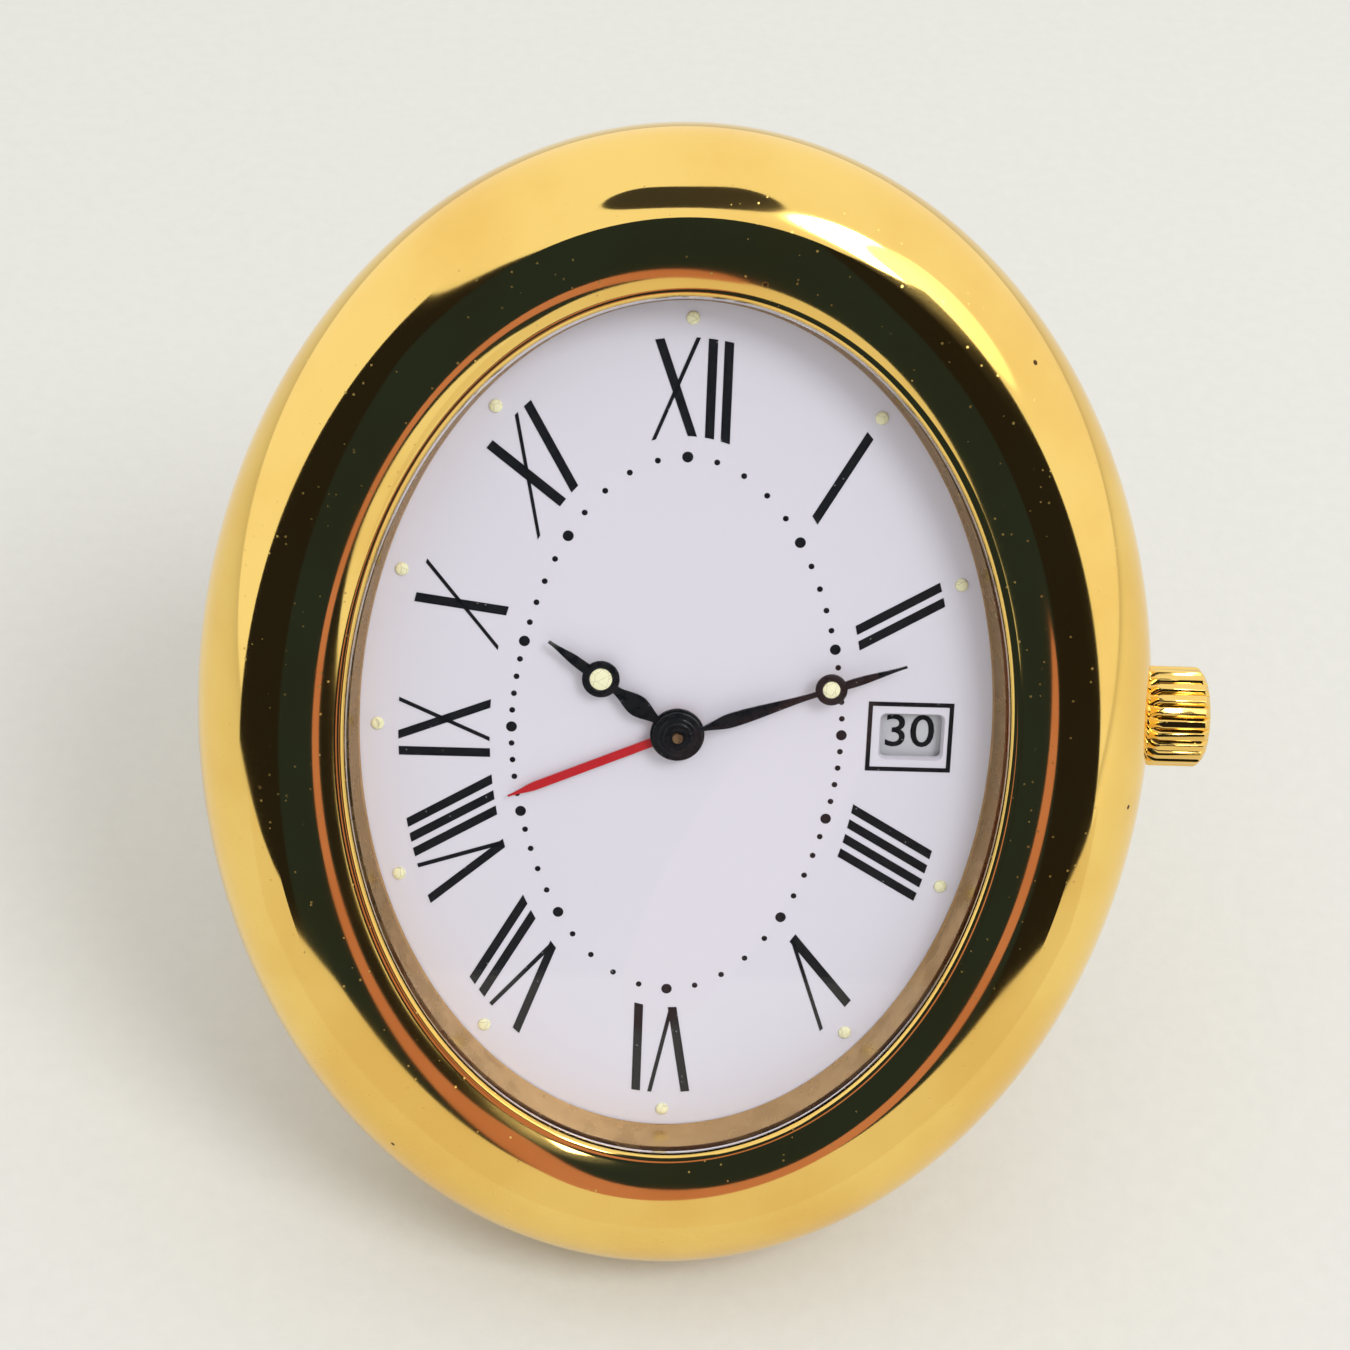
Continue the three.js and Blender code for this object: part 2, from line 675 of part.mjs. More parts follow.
function mainPlate() {
  const body = turned([
    [ARBOR_RADIUS + GAP, MAIN_PLATE.back],
    [MOVEMENT_RADIUS, MAIN_PLATE.back],
    [MOVEMENT_RADIUS, MAIN_PLATE.rim],
    [MAIN_PLATE.shelfRadius, MAIN_PLATE.rim],
    [MAIN_PLATE.shelfRadius, MAIN_PLATE.shelf],
    [MAIN_PLATE.wellRadius, MAIN_PLATE.shelf],
    [MAIN_PLATE.wellRadius, MAIN_PLATE.well],
    [ARBOR_RADIUS + GAP, MAIN_PLATE.well],
    [ARBOR_RADIUS + GAP, MAIN_PLATE.back],
  ], 28);
  const hole = ([x, y], radius) => rod(radius, MAIN_PLATE.back - 1, 0, x, y, 12);
  const holes = [
    hole(PLACES.minute, PIVOT.minute + PIVOT.play),
    hole(PLACES.setting, PIVOT.setting + PIVOT.play),
    hole(PLACES.alarmSetting, PIVOT.plate + PIVOT.play),
    hole(PLACES.dateIntermediate, PIVOT.plate + PIVOT.play),
    hole(PLACES.dateDrive, PIVOT.plate + PIVOT.play),
    ...dialFootPlaces().map((place) => hole(place, DIAL.footRadius + GAP)),
    ...guardScrewPlaces().map((place) => hole(place, GUARD_SCREW.shank + SCREW_CLEARANCE)),
  ];
  const leverStud = rod(LEVER.stud, LEVER.low - 0.2, MAIN_PLATE.back + 0.2, ...LEVER.pivot);
  return join(cut(body, ...holes), leverStud);
}

function movementHolder() {
  const [low, high] = [HOLDER.low, MAIN_PLATE.rim];
  const inner = rod(MOVEMENT_RADIUS + HOLDER.play, low - 1, high + 1, 0, 0, 32);
  const stemHole = alongStem(rod(HOLDER.stemHole, 10, 20));
  const collar = rod(MOVEMENT_RADIUS + HOLDER.collar, low - 2, high, 0, 0, 32);
  const crescents = cut(ovalPlate(CAVITY.inset + HOLDER.wall, low - 1, high - HOLDER.floor), collar);
  return cut(ovalPlate(CAVITY.inset + 2 * GAP, low, high), inner, stemHole, crescents);
}

function centreWheel() {
  return join(
    gear(TEETH.centre, FINE, ...CENTRE_WHEEL),
    rod(ARBOR_RADIUS, BRIDGE.high - 0.3, ARBOR_TOP),
  );
}

function trainWheel() {
  return join(
    gear(TEETH.trainWheel, FINE, ...TRAIN_WHEEL),
    gear(TEETH.trainPinion, FINE, TRAIN_WHEEL[0], TRAIN_PIVOT.top - 0.1),
    rod(TRAIN_PIVOT.radius, BRIDGE.high - 0.3, TRAIN_PIVOT.top),
  );
}

function rotor() {
  return join(
    rod(ROTOR.radius, ROTOR.low, ROTOR.high, 0, 0, 16),
    gear(TEETH.rotor, FINE, ROTOR.high - 0.1, ROTOR.pinionTop),
    rod(ROTOR.pivot, BRIDGE.high - 0.3, TRAIN_PIVOT.top),
  );
}

// Drawn with the rotor at the origin and the strip along x
function stator() {
  const shape = roundedRectangle(STATOR.length, STATOR.width, 0.6);
  shape.holes.push(new THREE.Path().absarc(0, 0, STATOR.bore, 0, 2 * Math.PI));
  return plate(shape, STATOR.low, STATOR.high);
}

function coilCore() {
  const half = STATOR.length / 2;
  const [low, high] = [STATOR.low - GAP - COIL.coreThickness, STATOR.low - GAP];
  const [barStart, barEnd] = [COIL.offset - COIL.coreWidth / 2, COIL.offset + COIL.coreWidth / 2];
  const arm = (side) => {
    const [near, far] = [side * half, side * (half - COIL.armWidth)];
    return block(Math.min(near, far), Math.max(near, far), -0.6, barEnd, low, high);
  };
  const bar = block(-half, half, barStart, barEnd, low, high);
  return join(bar, arm(1), arm(-1));
}

function coilWinding() {
  const barMiddle = STATOR.low - GAP - COIL.coreThickness / 2;
  const halfLength = COIL.length / 2;
  const halfThickness = COIL.coreThickness / 2 + COIL.gap;
  const halfWidth = COIL.coreWidth / 2 + COIL.gap;
  const tube = cut(
    rod(COIL.radius, -halfLength, halfLength, 0, 0, 20),
    block(-halfThickness, halfThickness, -halfWidth, halfWidth, -COIL.length, COIL.length),
  );
  return tube.rotateY(Math.PI / 2).translate(0, COIL.offset, barMiddle);
}

function trainBridge() {
  const outline = polygon([
    [4.5, 5.4], [1.4, -5.4], [-0.8, -5.8], [-12.0, -1.9], [-11.8, -0.3], [-6.4, 5.4], [-4.6, 6.3], [2.8, 6.2],
  ]);
  const slab = plate(outline, BRIDGE.low, BRIDGE.high);
  const pillars = PILLARS.map(([x, y]) => {
    return rod(BRIDGE.pillarRadius, BRIDGE.high - 0.2, MAIN_PLATE.back - GAP, x, y);
  });
  const screwHoles = PILLARS.map(([x, y]) => {
    return rod(BRIDGE_SCREW.shank + SCREW_CLEARANCE, BRIDGE.low - 1, BRIDGE_SCREW.tip + 0.1, x, y, 12);
  });
  const pivots = [[0, 0], PLACES.train, PLACES.rotor].map(([x, y]) => {
    return rod(ARBOR_RADIUS + SCREW_CLEARANCE, BRIDGE.low - 1, BRIDGE.high + 0.5, x, y, 12);
  });
  const batteryRoom = rod(BATTERY.radius + 0.25, BRIDGE.low - 1, 0, BATTERY.x, BATTERY.y, 24);
  return cut(join(cut(slab, batteryRoom), ...pillars), ...screwHoles, ...pivots);
}

function bridgeScrew() {
  return turned([
    [0, -BRIDGE_SCREW.headHeight],
    [BRIDGE_SCREW.head, -BRIDGE_SCREW.headHeight],
    [BRIDGE_SCREW.head, -GAP],
    [BRIDGE_SCREW.shank, -GAP],
    [BRIDGE_SCREW.shank, BRIDGE_SCREW.tip - BRIDGE.low],
    [0, BRIDGE_SCREW.tip - BRIDGE.low],
  ], 12);
}

function battery() {
  const [step, rim] = [0.45, 0.6];
  return turned([
    [0, BATTERY.low],
    [BATTERY.radius, BATTERY.low],
    [BATTERY.radius, BATTERY.high - step],
    [BATTERY.radius - rim, BATTERY.high - step],
    [BATTERY.radius - rim, BATTERY.high],
    [0, BATTERY.high],
  ], 24);
}

// A leaf from the bridge's left pillar across the cell
function batteryClip() {
  const [x, y] = PILLARS[2];
  const leaf = polygon([
    [x - 0.9, y + 0.7],
    [x + 0.9, y + 0.9],
    [BATTERY.x + 1.6, BATTERY.y + 0.6],
    [BATTERY.x + 0.6, BATTERY.y - 1.2],
  ]);
  const hole = rod(BRIDGE_SCREW.head + 0.1, -8, 0, x, y);
  return cut(plate(leaf, BRIDGE.low - 0.2, BRIDGE.low - GAP), hole);
}

function sector(inner, outer, start, end) {
  const shape = new THREE.Shape();
  shape.absarc(0, 0, outer, start, end);
  shape.absarc(0, 0, inner, end, start, true);
  shape.closePath();
  return shape;
}

const QUARTZ = { x: 7.6, y: -8.2, radius: 0.9, length: 5.6, height: -4.5, turn: degrees(45) };
const CHIP = { x: 4.4, y: -6.6, half: 1.4, low: -5.42, high: -4.6 };
const BUZZER = { low: -8.2, high: -7.9, radius: 11, ceramicRadius: 8, ceramicTop: -7.68 };
const CONTACT_SPRING = { x: 5.2, y: -4.0, radius: 0.8, wire: 0.14, turns: 4, low: -7.62, high: -5.82 };

function circuitBoard() {
  return plate(sector(BOARD.inner, BOARD.outer, BOARD.start, BOARD.end), BOARD.low, BOARD.high, 8);
}

function contactSpring() {
  const [low, high] = [CONTACT_SPRING.low + CONTACT_SPRING.wire, CONTACT_SPRING.high - CONTACT_SPRING.wire];
  class Helix extends THREE.Curve {
    getPoint(share, target = new THREE.Vector3()) {
      const angle = 2 * Math.PI * CONTACT_SPRING.turns * share;
      const [x, y] = polar(CONTACT_SPRING.radius, angle);
      return target.set(x, y, low + (high - low) * share);
    }
  }
  const wire = new THREE.Shape().absarc(0, 0, CONTACT_SPRING.wire, 0, 2 * Math.PI);
  const steps = CONTACT_SPRING.turns * 10;
  const options = { steps, extrudePath: new Helix(), curveSegments: 3, bevelEnabled: false };
  return closed(new THREE.ExtrudeGeometry(wire, options));
}

// ---------------------------------------------------------------------------------------------
// Stem, crown and setting lever
// ---------------------------------------------------------------------------------------------

function crown() {
  const half = CROWN.radius;
  const body = turned([
    [0, CROWN.outer],
    [half - CROWN.chamfer, CROWN.outer],
    [half, CROWN.outer - CROWN.chamfer],
    [half, CROWN.inner + CROWN.chamfer],
    [half - CROWN.chamfer, CROWN.inner],
    [CROWN.cup, CROWN.inner],
    [CROWN.cup, CROWN_TUBE.outer + 0.1],
    [STEM.radius + GAP, CROWN_TUBE.outer + 0.1],
    [STEM.radius + GAP, STEM.outer + 0.1],
    [0, STEM.outer + 0.1],
  ], CROWN.flutes * 2);
  const position = body.attributes.position;
  for (let i = 0; i < position.count; i += 1) {
    const [x, y] = [position.getX(i), position.getY(i)];
    const step = Math.round((Math.atan2(y, x) / Math.PI) * CROWN.flutes);
    if (Math.hypot(x, y) > half - 0.01 && step % 2 !== 0) {
      const shrink = (half - CROWN.fluteDepth) / half;
      position.setXY(i, x * shrink, y * shrink);
    }
  }
  return alongStem(body);
}

function crownTube() {
  return alongStem(ring(CROWN_TUBE.bore, CROWN_TUBE.radius, CROWN_TUBE.inner, CROWN_TUBE.outer, 20));
}

function crownGasket() {
  const { radius, inner, outer } = CROWN_GASKET;
  return alongStem(ring(CROWN_TUBE.radius + GAP, radius, inner, outer, 20));
}

function windingStem() {
  return alongStem(turned([
    [0, STEM.inner],
    [STEM.radius, STEM.inner],
    [STEM.radius, STEM.grooveStart],
    [STEM.grooveRadius, STEM.grooveStart],
    [STEM.grooveRadius, STEM.grooveEnd],
    [STEM.radius, STEM.grooveEnd],
    [STEM.radius, STEM.outer],
    [0, STEM.outer],
  ], 14));
}

function stemPinion() {
  const { module, inner, outer } = STEM_PINION;
  return alongStem(gear(TEETH.stem, module, inner, outer, STEM.radius + GAP));
}

// A plate behind the main plate; its nose sits in the stem's groove
function settingLever() {
  const { low, high } = LEVER;
  const [x, y] = LEVER.pivot;
  const arm = polygon([[x - 0.55, y + 0.2], [x - 0.45, -0.45], [x + 0.55, -0.45], [x + 0.65, y + 0.3]]);
  const tail = polygon([[x - 0.6, y - 0.3], [x + 0.6, y + 0.2], [x - 0.7, y + 2.9], [x - 1.5, y + 2.6]]);
  const nose = rod(LEVER.nose, STEM_HEIGHT + STEM.grooveRadius + GAP, high, x + GAP, 0, 12);
  const pivotHole = rod(LEVER.bore, low - 1, high + 1, x, y);
  return cut(join(plate(arm, low, high), plate(tail, low, high), nose), pivotHole);
}

// ---------------------------------------------------------------------------------------------
// Finishes
// ---------------------------------------------------------------------------------------------

function finish(color, roughness, metalness) {
  return new THREE.MeshStandardMaterial({ color, roughness, metalness });
}

const GILT = finish(0xe6bf55, 0.12, 1);
const CLEAR = new THREE.MeshStandardMaterial({
  color: 0xeef4f6,
  roughness: 0.02,
  transparent: true,
  opacity: 0.3,
});
const SEAL = finish(0x2c2a28, 0.7, 0);
const BRASS = finish(0xb9985a, 0.35, 1);
const DIAL_PAINT = finish(0xc4bfcb, 0.5, 0.1);
const BLACK_PAINT = finish(0x0c0c0e, 0.25, 0.2);
const RED_PAINT = finish(0xb3242a, 0.35, 0);
const LUME = finish(0xe8e4c4, 0.7, 0);
const STEEL = finish(0xb8bcc0, 0.25, 1);
const WHITE_PLASTIC = finish(0xe9e7e1, 0.55, 0);
const GREEN_BOARD = finish(0x2f5d3f, 0.5, 0);
const BLACK_RESIN = finish(0x18181a, 0.5, 0);
const COPPER = finish(0xb5683a, 0.35, 0.8);
const CERAMIC = finish(0xe4dfd2, 0.6, 0);

// ---------------------------------------------------------------------------------------------
// Assembly
// ---------------------------------------------------------------------------------------------

const dialFrame = new THREE.Group();

function add(name, geometry, material, [x, y] = [0, 0], turn = 0, z = 0) {
  const mesh = new THREE.Mesh(geometry, material);
  mesh.name = name;
  mesh.position.set(x, y, z);
  mesh.rotation.z = turn;
  dialFrame.add(mesh);
}

const clockwise = (angle) => -degrees(angle);
const MIDDLE = [0, 0];

add('front_case', frontCase(), GILT);
add('crystal', crystal(), CLEAR);
add('crystal_gasket', ovalRing(CRYSTAL.flangeInset, LIP.inset, SEALS.frontLow, SEALS.frontHigh), SEAL);
add('rehaut_ring', ovalRing(REHAUT.outerInset, REHAUT.innerInset, REHAUT.bottom, REHAUT.top), BRASS);
add('dial', dial(), DIAL_PAINT);
add('back_cover', backCover(), GILT);
add('back_gasket', ovalRing(SEALS.backOuter, SEALS.backInner, COVER.inside + GAP, CAVITY.back - GAP), SEAL);
coverScrewPlaces().forEach((place, i) => {
  add(`back_screw_${i + 1}`, coverScrew(), STEEL, place, degrees(20 + 65 * i), COVER.flange);
});

add(
  'minute_hand',
  eyedHand(MINUTE_HAND, CANNON_PIPE.radius),
  BLACK_PAINT,
  MIDDLE,
  clockwise(MINUTE_HAND.angle),
);
add('minute_hand_lume', lumeFor(MINUTE_HAND), LUME, MIDDLE, clockwise(MINUTE_HAND.angle));
add('hour_hand', eyedHand(HOUR_HAND, HOUR_PIPE.radius), BLACK_PAINT, MIDDLE, clockwise(HOUR_HAND.angle));
add('hour_hand_lume', lumeFor(HOUR_HAND), LUME, MIDDLE, clockwise(HOUR_HAND.angle));
add('alarm_hand', alarmHand(), RED_PAINT, MIDDLE, clockwise(ALARM_HAND.angle));

add('cannon_pinion', cannonPinion(), STEEL);
add('minute_wheel', minuteWheel(), BRASS, PLACES.minute, TURNS.minute);
add('hour_wheel', hourWheel(), BRASS, MIDDLE, TURNS.hour);
add('alarm_wheel', alarmWheel(), BRASS);
add(
  'alarm_setting_wheel',
  platePivoted(TEETH.alarmSetting, LAYERS.alarm),
  BRASS,
  PLACES.alarmSetting,
  TURNS.alarmSetting,
);
add('setting_wheel', settingWheel(), STEEL, PLACES.setting, TURNS.setting);
add(
  'date_intermediate_wheel',
  platePivoted(TEETH.dateIntermediate, LAYERS.small),
  BRASS,
  PLACES.dateIntermediate,
  TURNS.dateIntermediate,
);
add('date_drive_wheel', dateDriveWheel(), BRASS, PLACES.dateDrive, TURNS.dateDrive);
add('date_disc', dateDisc(), WHITE_PLASTIC);
add('date_disc_guard', dateDiscGuard(), STEEL);
guardScrewPlaces().forEach((place, i) => {
  add(`guard_screw_${i + 1}`, guardScrew(), STEEL, place);
});

add('main_plate', mainPlate(), BRASS);
add('movement_holder', movementHolder(), WHITE_PLASTIC);
add('centre_wheel', centreWheel(), BRASS);
add('train_wheel', trainWheel(), BRASS, PLACES.train, TURNS.train);
add('rotor', rotor(), STEEL, PLACES.rotor, TURNS.rotor);
add('stator', stator(), STEEL, PLACES.rotor, STATOR.slope);
add('coil_core', coilCore(), STEEL, PLACES.rotor, STATOR.slope);
add('coil_winding', coilWinding(), COPPER, PLACES.rotor, STATOR.slope);
add('train_bridge', trainBridge(), BRASS);
PILLARS.forEach((place, i) => {
  add(`bridge_screw_${i + 1}`, bridgeScrew(), STEEL, place, 0, BRIDGE.low);
});
add('battery', battery(), STEEL, [BATTERY.x, BATTERY.y]);
add('battery_clip', batteryClip(), STEEL);
add('circuit_board', circuitBoard(), GREEN_BOARD);
add(
  'quartz_crystal_can',
  rod(QUARTZ.radius, -QUARTZ.length / 2, QUARTZ.length / 2).rotateY(Math.PI / 2),
  STEEL,
  [QUARTZ.x, QUARTZ.y],
  QUARTZ.turn,
  QUARTZ.height,
);
add(
  'control_chip',
  block(-CHIP.half, CHIP.half, -CHIP.half, CHIP.half, CHIP.low, CHIP.high),
  BLACK_RESIN,
  [CHIP.x, CHIP.y],
);
add('buzzer_plate', rod(BUZZER.radius, BUZZER.low, BUZZER.high, 0, 0, 24), BRASS);
add('buzzer_ceramic', rod(BUZZER.ceramicRadius, BUZZER.high + 0.02, BUZZER.ceramicTop, 0, 0, 24), CERAMIC);
add('buzzer_contact_spring', contactSpring(), STEEL, [CONTACT_SPRING.x, CONTACT_SPRING.y]);

add('crown', crown(), GILT);
add('crown_tube', crownTube(), BRASS);
add('crown_gasket', crownGasket(), SEAL);
add('winding_stem', windingStem(), STEEL);
add('stem_pinion', stemPinion(), STEEL);
add('setting_lever', settingLever(), STEEL);

// The leg hangs from its pin, opened as far as its heel allows
const legHinge = new THREE.Group();
legHinge.position.set(0, LEG.hingeY, LEG.hingeZ);
legHinge.rotation.x = LEG_OPENING;
const leg = new THREE.Mesh(standLeg(), GILT);
leg.name = 'stand_leg';
legHinge.add(leg);
dialFrame.add(legHinge);
const pin = new THREE.Mesh(
  rod(HINGE_PIN.radius, -HINGE_PIN.halfLength, HINGE_PIN.halfLength).rotateY(Math.PI / 2),
  STEEL,
);
pin.name = 'stand_hinge_pin';
pin.position.set(0, LEG.hingeY, LEG.hingeZ);
dialFrame.add(pin);

// Lean the dial back and stand the clock on z = 0, centred
dialFrame.rotation.x = Math.PI / 2 - LEAN;
const clock = new THREE.Group();
clock.add(dialFrame);
clock.updateMatrixWorld(true);
const box = new THREE.Box3().setFromObject(clock, true);
const middle = box.getCenter(new THREE.Vector3());
dialFrame.position.set(-middle.x, -middle.y, -box.min.z);

export default clock;
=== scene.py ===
"""Looks for the oval gilt alarm clock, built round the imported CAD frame.

Pieces are drawn in the dial frame, in millimetres: x to the right, y up along the dial, z towards the
reader, with z = 0 on the dial's printed face and the hands' axis at x = y = 0. dial_to_row() then
sets them, in metres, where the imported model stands.
"""

import json
from math import atan, cos, pi, radians, sin, sqrt, tan

import bmesh
import bpy
from mathutils import Matrix, Vector

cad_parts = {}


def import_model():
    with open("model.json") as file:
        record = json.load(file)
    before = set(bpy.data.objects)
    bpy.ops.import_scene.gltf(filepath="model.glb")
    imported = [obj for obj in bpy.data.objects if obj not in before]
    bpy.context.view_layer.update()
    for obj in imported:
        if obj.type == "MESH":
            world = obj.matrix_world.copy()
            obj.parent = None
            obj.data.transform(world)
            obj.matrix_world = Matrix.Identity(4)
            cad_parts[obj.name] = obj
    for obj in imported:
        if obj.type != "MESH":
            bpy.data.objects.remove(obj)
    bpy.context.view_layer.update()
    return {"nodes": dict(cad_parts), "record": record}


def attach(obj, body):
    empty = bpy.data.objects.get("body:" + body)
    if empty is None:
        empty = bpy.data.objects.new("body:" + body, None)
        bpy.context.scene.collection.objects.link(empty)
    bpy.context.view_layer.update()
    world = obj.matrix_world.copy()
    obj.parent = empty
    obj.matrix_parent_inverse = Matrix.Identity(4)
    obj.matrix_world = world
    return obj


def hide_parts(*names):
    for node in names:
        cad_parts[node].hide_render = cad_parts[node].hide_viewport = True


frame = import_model()
record = frame["record"]

# ---------------------------------------------------------------------------------------------
# The dial frame
# ---------------------------------------------------------------------------------------------

MM = 0.001
JOINTS = {joint["name"]: joint for joint in record["behaviour"]["joints"]}


def dial_to_row():
    """The matrix from the dial frame in millimetres to the row frame in metres."""
    minute = JOINTS["minute_hand_turn"]
    out = -Vector(minute["axis"]).normalized()
    right = Vector((1, 0, 0))
    up = out.cross(right)
    turn = Matrix((right, up, out)).transposed().to_4x4()
    return Matrix.Translation(minute["pos_m"]) @ turn @ Matrix.Scale(MM, 4)


DIAL_TO_ROW = dial_to_row()

# ---------------------------------------------------------------------------------------------
# Sizes, in millimetres
# ---------------------------------------------------------------------------------------------

HALF_WIDTH = 22.97
HALF_HEIGHT = 28.5
OVAL_STEPS = 240
LIP_INSET = 7.35
LIP_TOP = 2.85
GLASS_TOP = 2.6
BACK_PLATEAU = -9.9

MINUTE_ANGLE = 70.7
HOUR_ANGLE = 305.5
ALARM_ANGLE = 247

# ---------------------------------------------------------------------------------------------
# Mesh helpers
# ---------------------------------------------------------------------------------------------


def oval_point(inset, angle):
    """A point on the case's oval, moved in by inset."""
    return (HALF_WIDTH - inset) * cos(angle), (HALF_HEIGHT - inset) * sin(angle)


def round_point(radius, angle):
    return radius * cos(angle), radius * sin(angle)


def swept(profile, point=oval_point, steps=OVAL_STEPS, capped=False):
    """A bmesh made by sweeping a profile of (offset, z) points round the axis.

    An open profile is capped with one face at each end; otherwise the profile closes on itself."""
    bm = bmesh.new()
    rings = []
    for offset, z in profile:
        angles = [2 * pi * step / steps for step in range(steps)]
        rings.append([bm.verts.new((*point(offset, angle), z)) for angle in angles])
    pairs = list(zip(rings, rings[1:]))
    if not capped:
        pairs.append((rings[-1], rings[0]))
    for near, far in pairs:
        for step in range(steps):
            after = (step + 1) % steps
            bm.faces.new((near[step], near[after], far[after], far[step]))
    if capped:
        bm.faces.new(rings[0])
        bm.faces.new(rings[-1])
    bmesh.ops.recalc_face_normals(bm, faces=bm.faces)
    return bm


def lathed(profile, steps=64, capped=True):
    return swept(profile, round_point, steps, capped)


def lofted(outlines):
    """A closed bmesh through flat outlines, each a z and as many (x, y) points, from the lowest up."""
    bm = bmesh.new()
    loops = [[bm.verts.new((x, y, z)) for x, y in points] for z, points in outlines]
    count = len(loops[0])
    for near, far in zip(loops, loops[1:]):
        for i in range(count):
            after = (i + 1) % count
            bm.faces.new((near[i], near[after], far[after], far[i]))
    bm.faces.new(list(reversed(loops[0])))
    bm.faces.new(loops[-1])
    bmesh.ops.recalc_face_normals(bm, faces=bm.faces)
    return bm


def slab(outline, low, high):
    """A flat plate with the given outline."""
    return lofted([(low, outline), (high, outline)])


def to_mesh(name, bm):
    """A named mesh out of a bmesh, which is used up."""
    mesh = bpy.data.meshes.new(name)
    bm.to_mesh(mesh)
    bm.free()
    return mesh


def linked(name, data):
    """A new object that is part of the scene."""
    obj = bpy.data.objects.new(name, data)
    bpy.context.scene.collection.objects.link(obj)
    return obj


def evaluated_mesh(obj):
    """The mesh of an object after its modifiers, or of a text object."""
    bpy.context.view_layer.update()
    depsgraph = bpy.context.evaluated_depsgraph_get()
    return bpy.data.meshes.new_from_object(obj.evaluated_get(depsgraph))


def merged(parts):
    """One bmesh out of several."""
    whole = bmesh.new()
    for part in parts:
        mesh = to_mesh("part", part)
        whole.from_mesh(mesh)
        bpy.data.meshes.remove(mesh)
    return whole


def moved(bm, matrix):
    bm.transform(matrix)
    return bm


def turned(bm, clockwise):
    """Turns a mesh drawn towards twelve to a clockwise angle in degrees."""
    return moved(bm, Matrix.Rotation(-radians(clockwise), 4, "Z"))


def piece(name, bm, materials, body, replaces=(), sharp=30):
    """Makes a named object from a dial-frame bmesh and ties it to its CAD body."""
    mesh = to_mesh(name, bm)
    mesh.transform(DIAL_TO_ROW)
    mesh.shade_smooth()
    mesh.set_sharp_from_angle(angle=radians(sharp))
    for material in materials:
        mesh.materials.append(material)
    obj = linked(name, mesh)
    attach(obj, body)
    if replaces:
        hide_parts(*replaces)
    return obj


def carved(obj, *tools):
    """Cuts tool meshes, drawn in the dial frame, out of a finished piece."""
    for tool in tools:
        mesh = to_mesh("tool", tool)
        mesh.transform(DIAL_TO_ROW)
        cutter = linked("tool", mesh)
        modifier = obj.modifiers.new("cut", "BOOLEAN")
        modifier.operation = "DIFFERENCE"
        modifier.solver = "EXACT"
        modifier.object = cutter
        result = evaluated_mesh(obj)
        obj.modifiers.clear()
        old = obj.data
        obj.data = result
        result.name = old.name
        bpy.data.meshes.remove(old)
        bpy.data.objects.remove(cutter)
        bpy.data.meshes.remove(mesh)
    obj.data.shade_smooth()
    obj.data.set_sharp_from_angle(angle=radians(30))
    return obj


# ---------------------------------------------------------------------------------------------
# Material helpers
# ---------------------------------------------------------------------------------------------


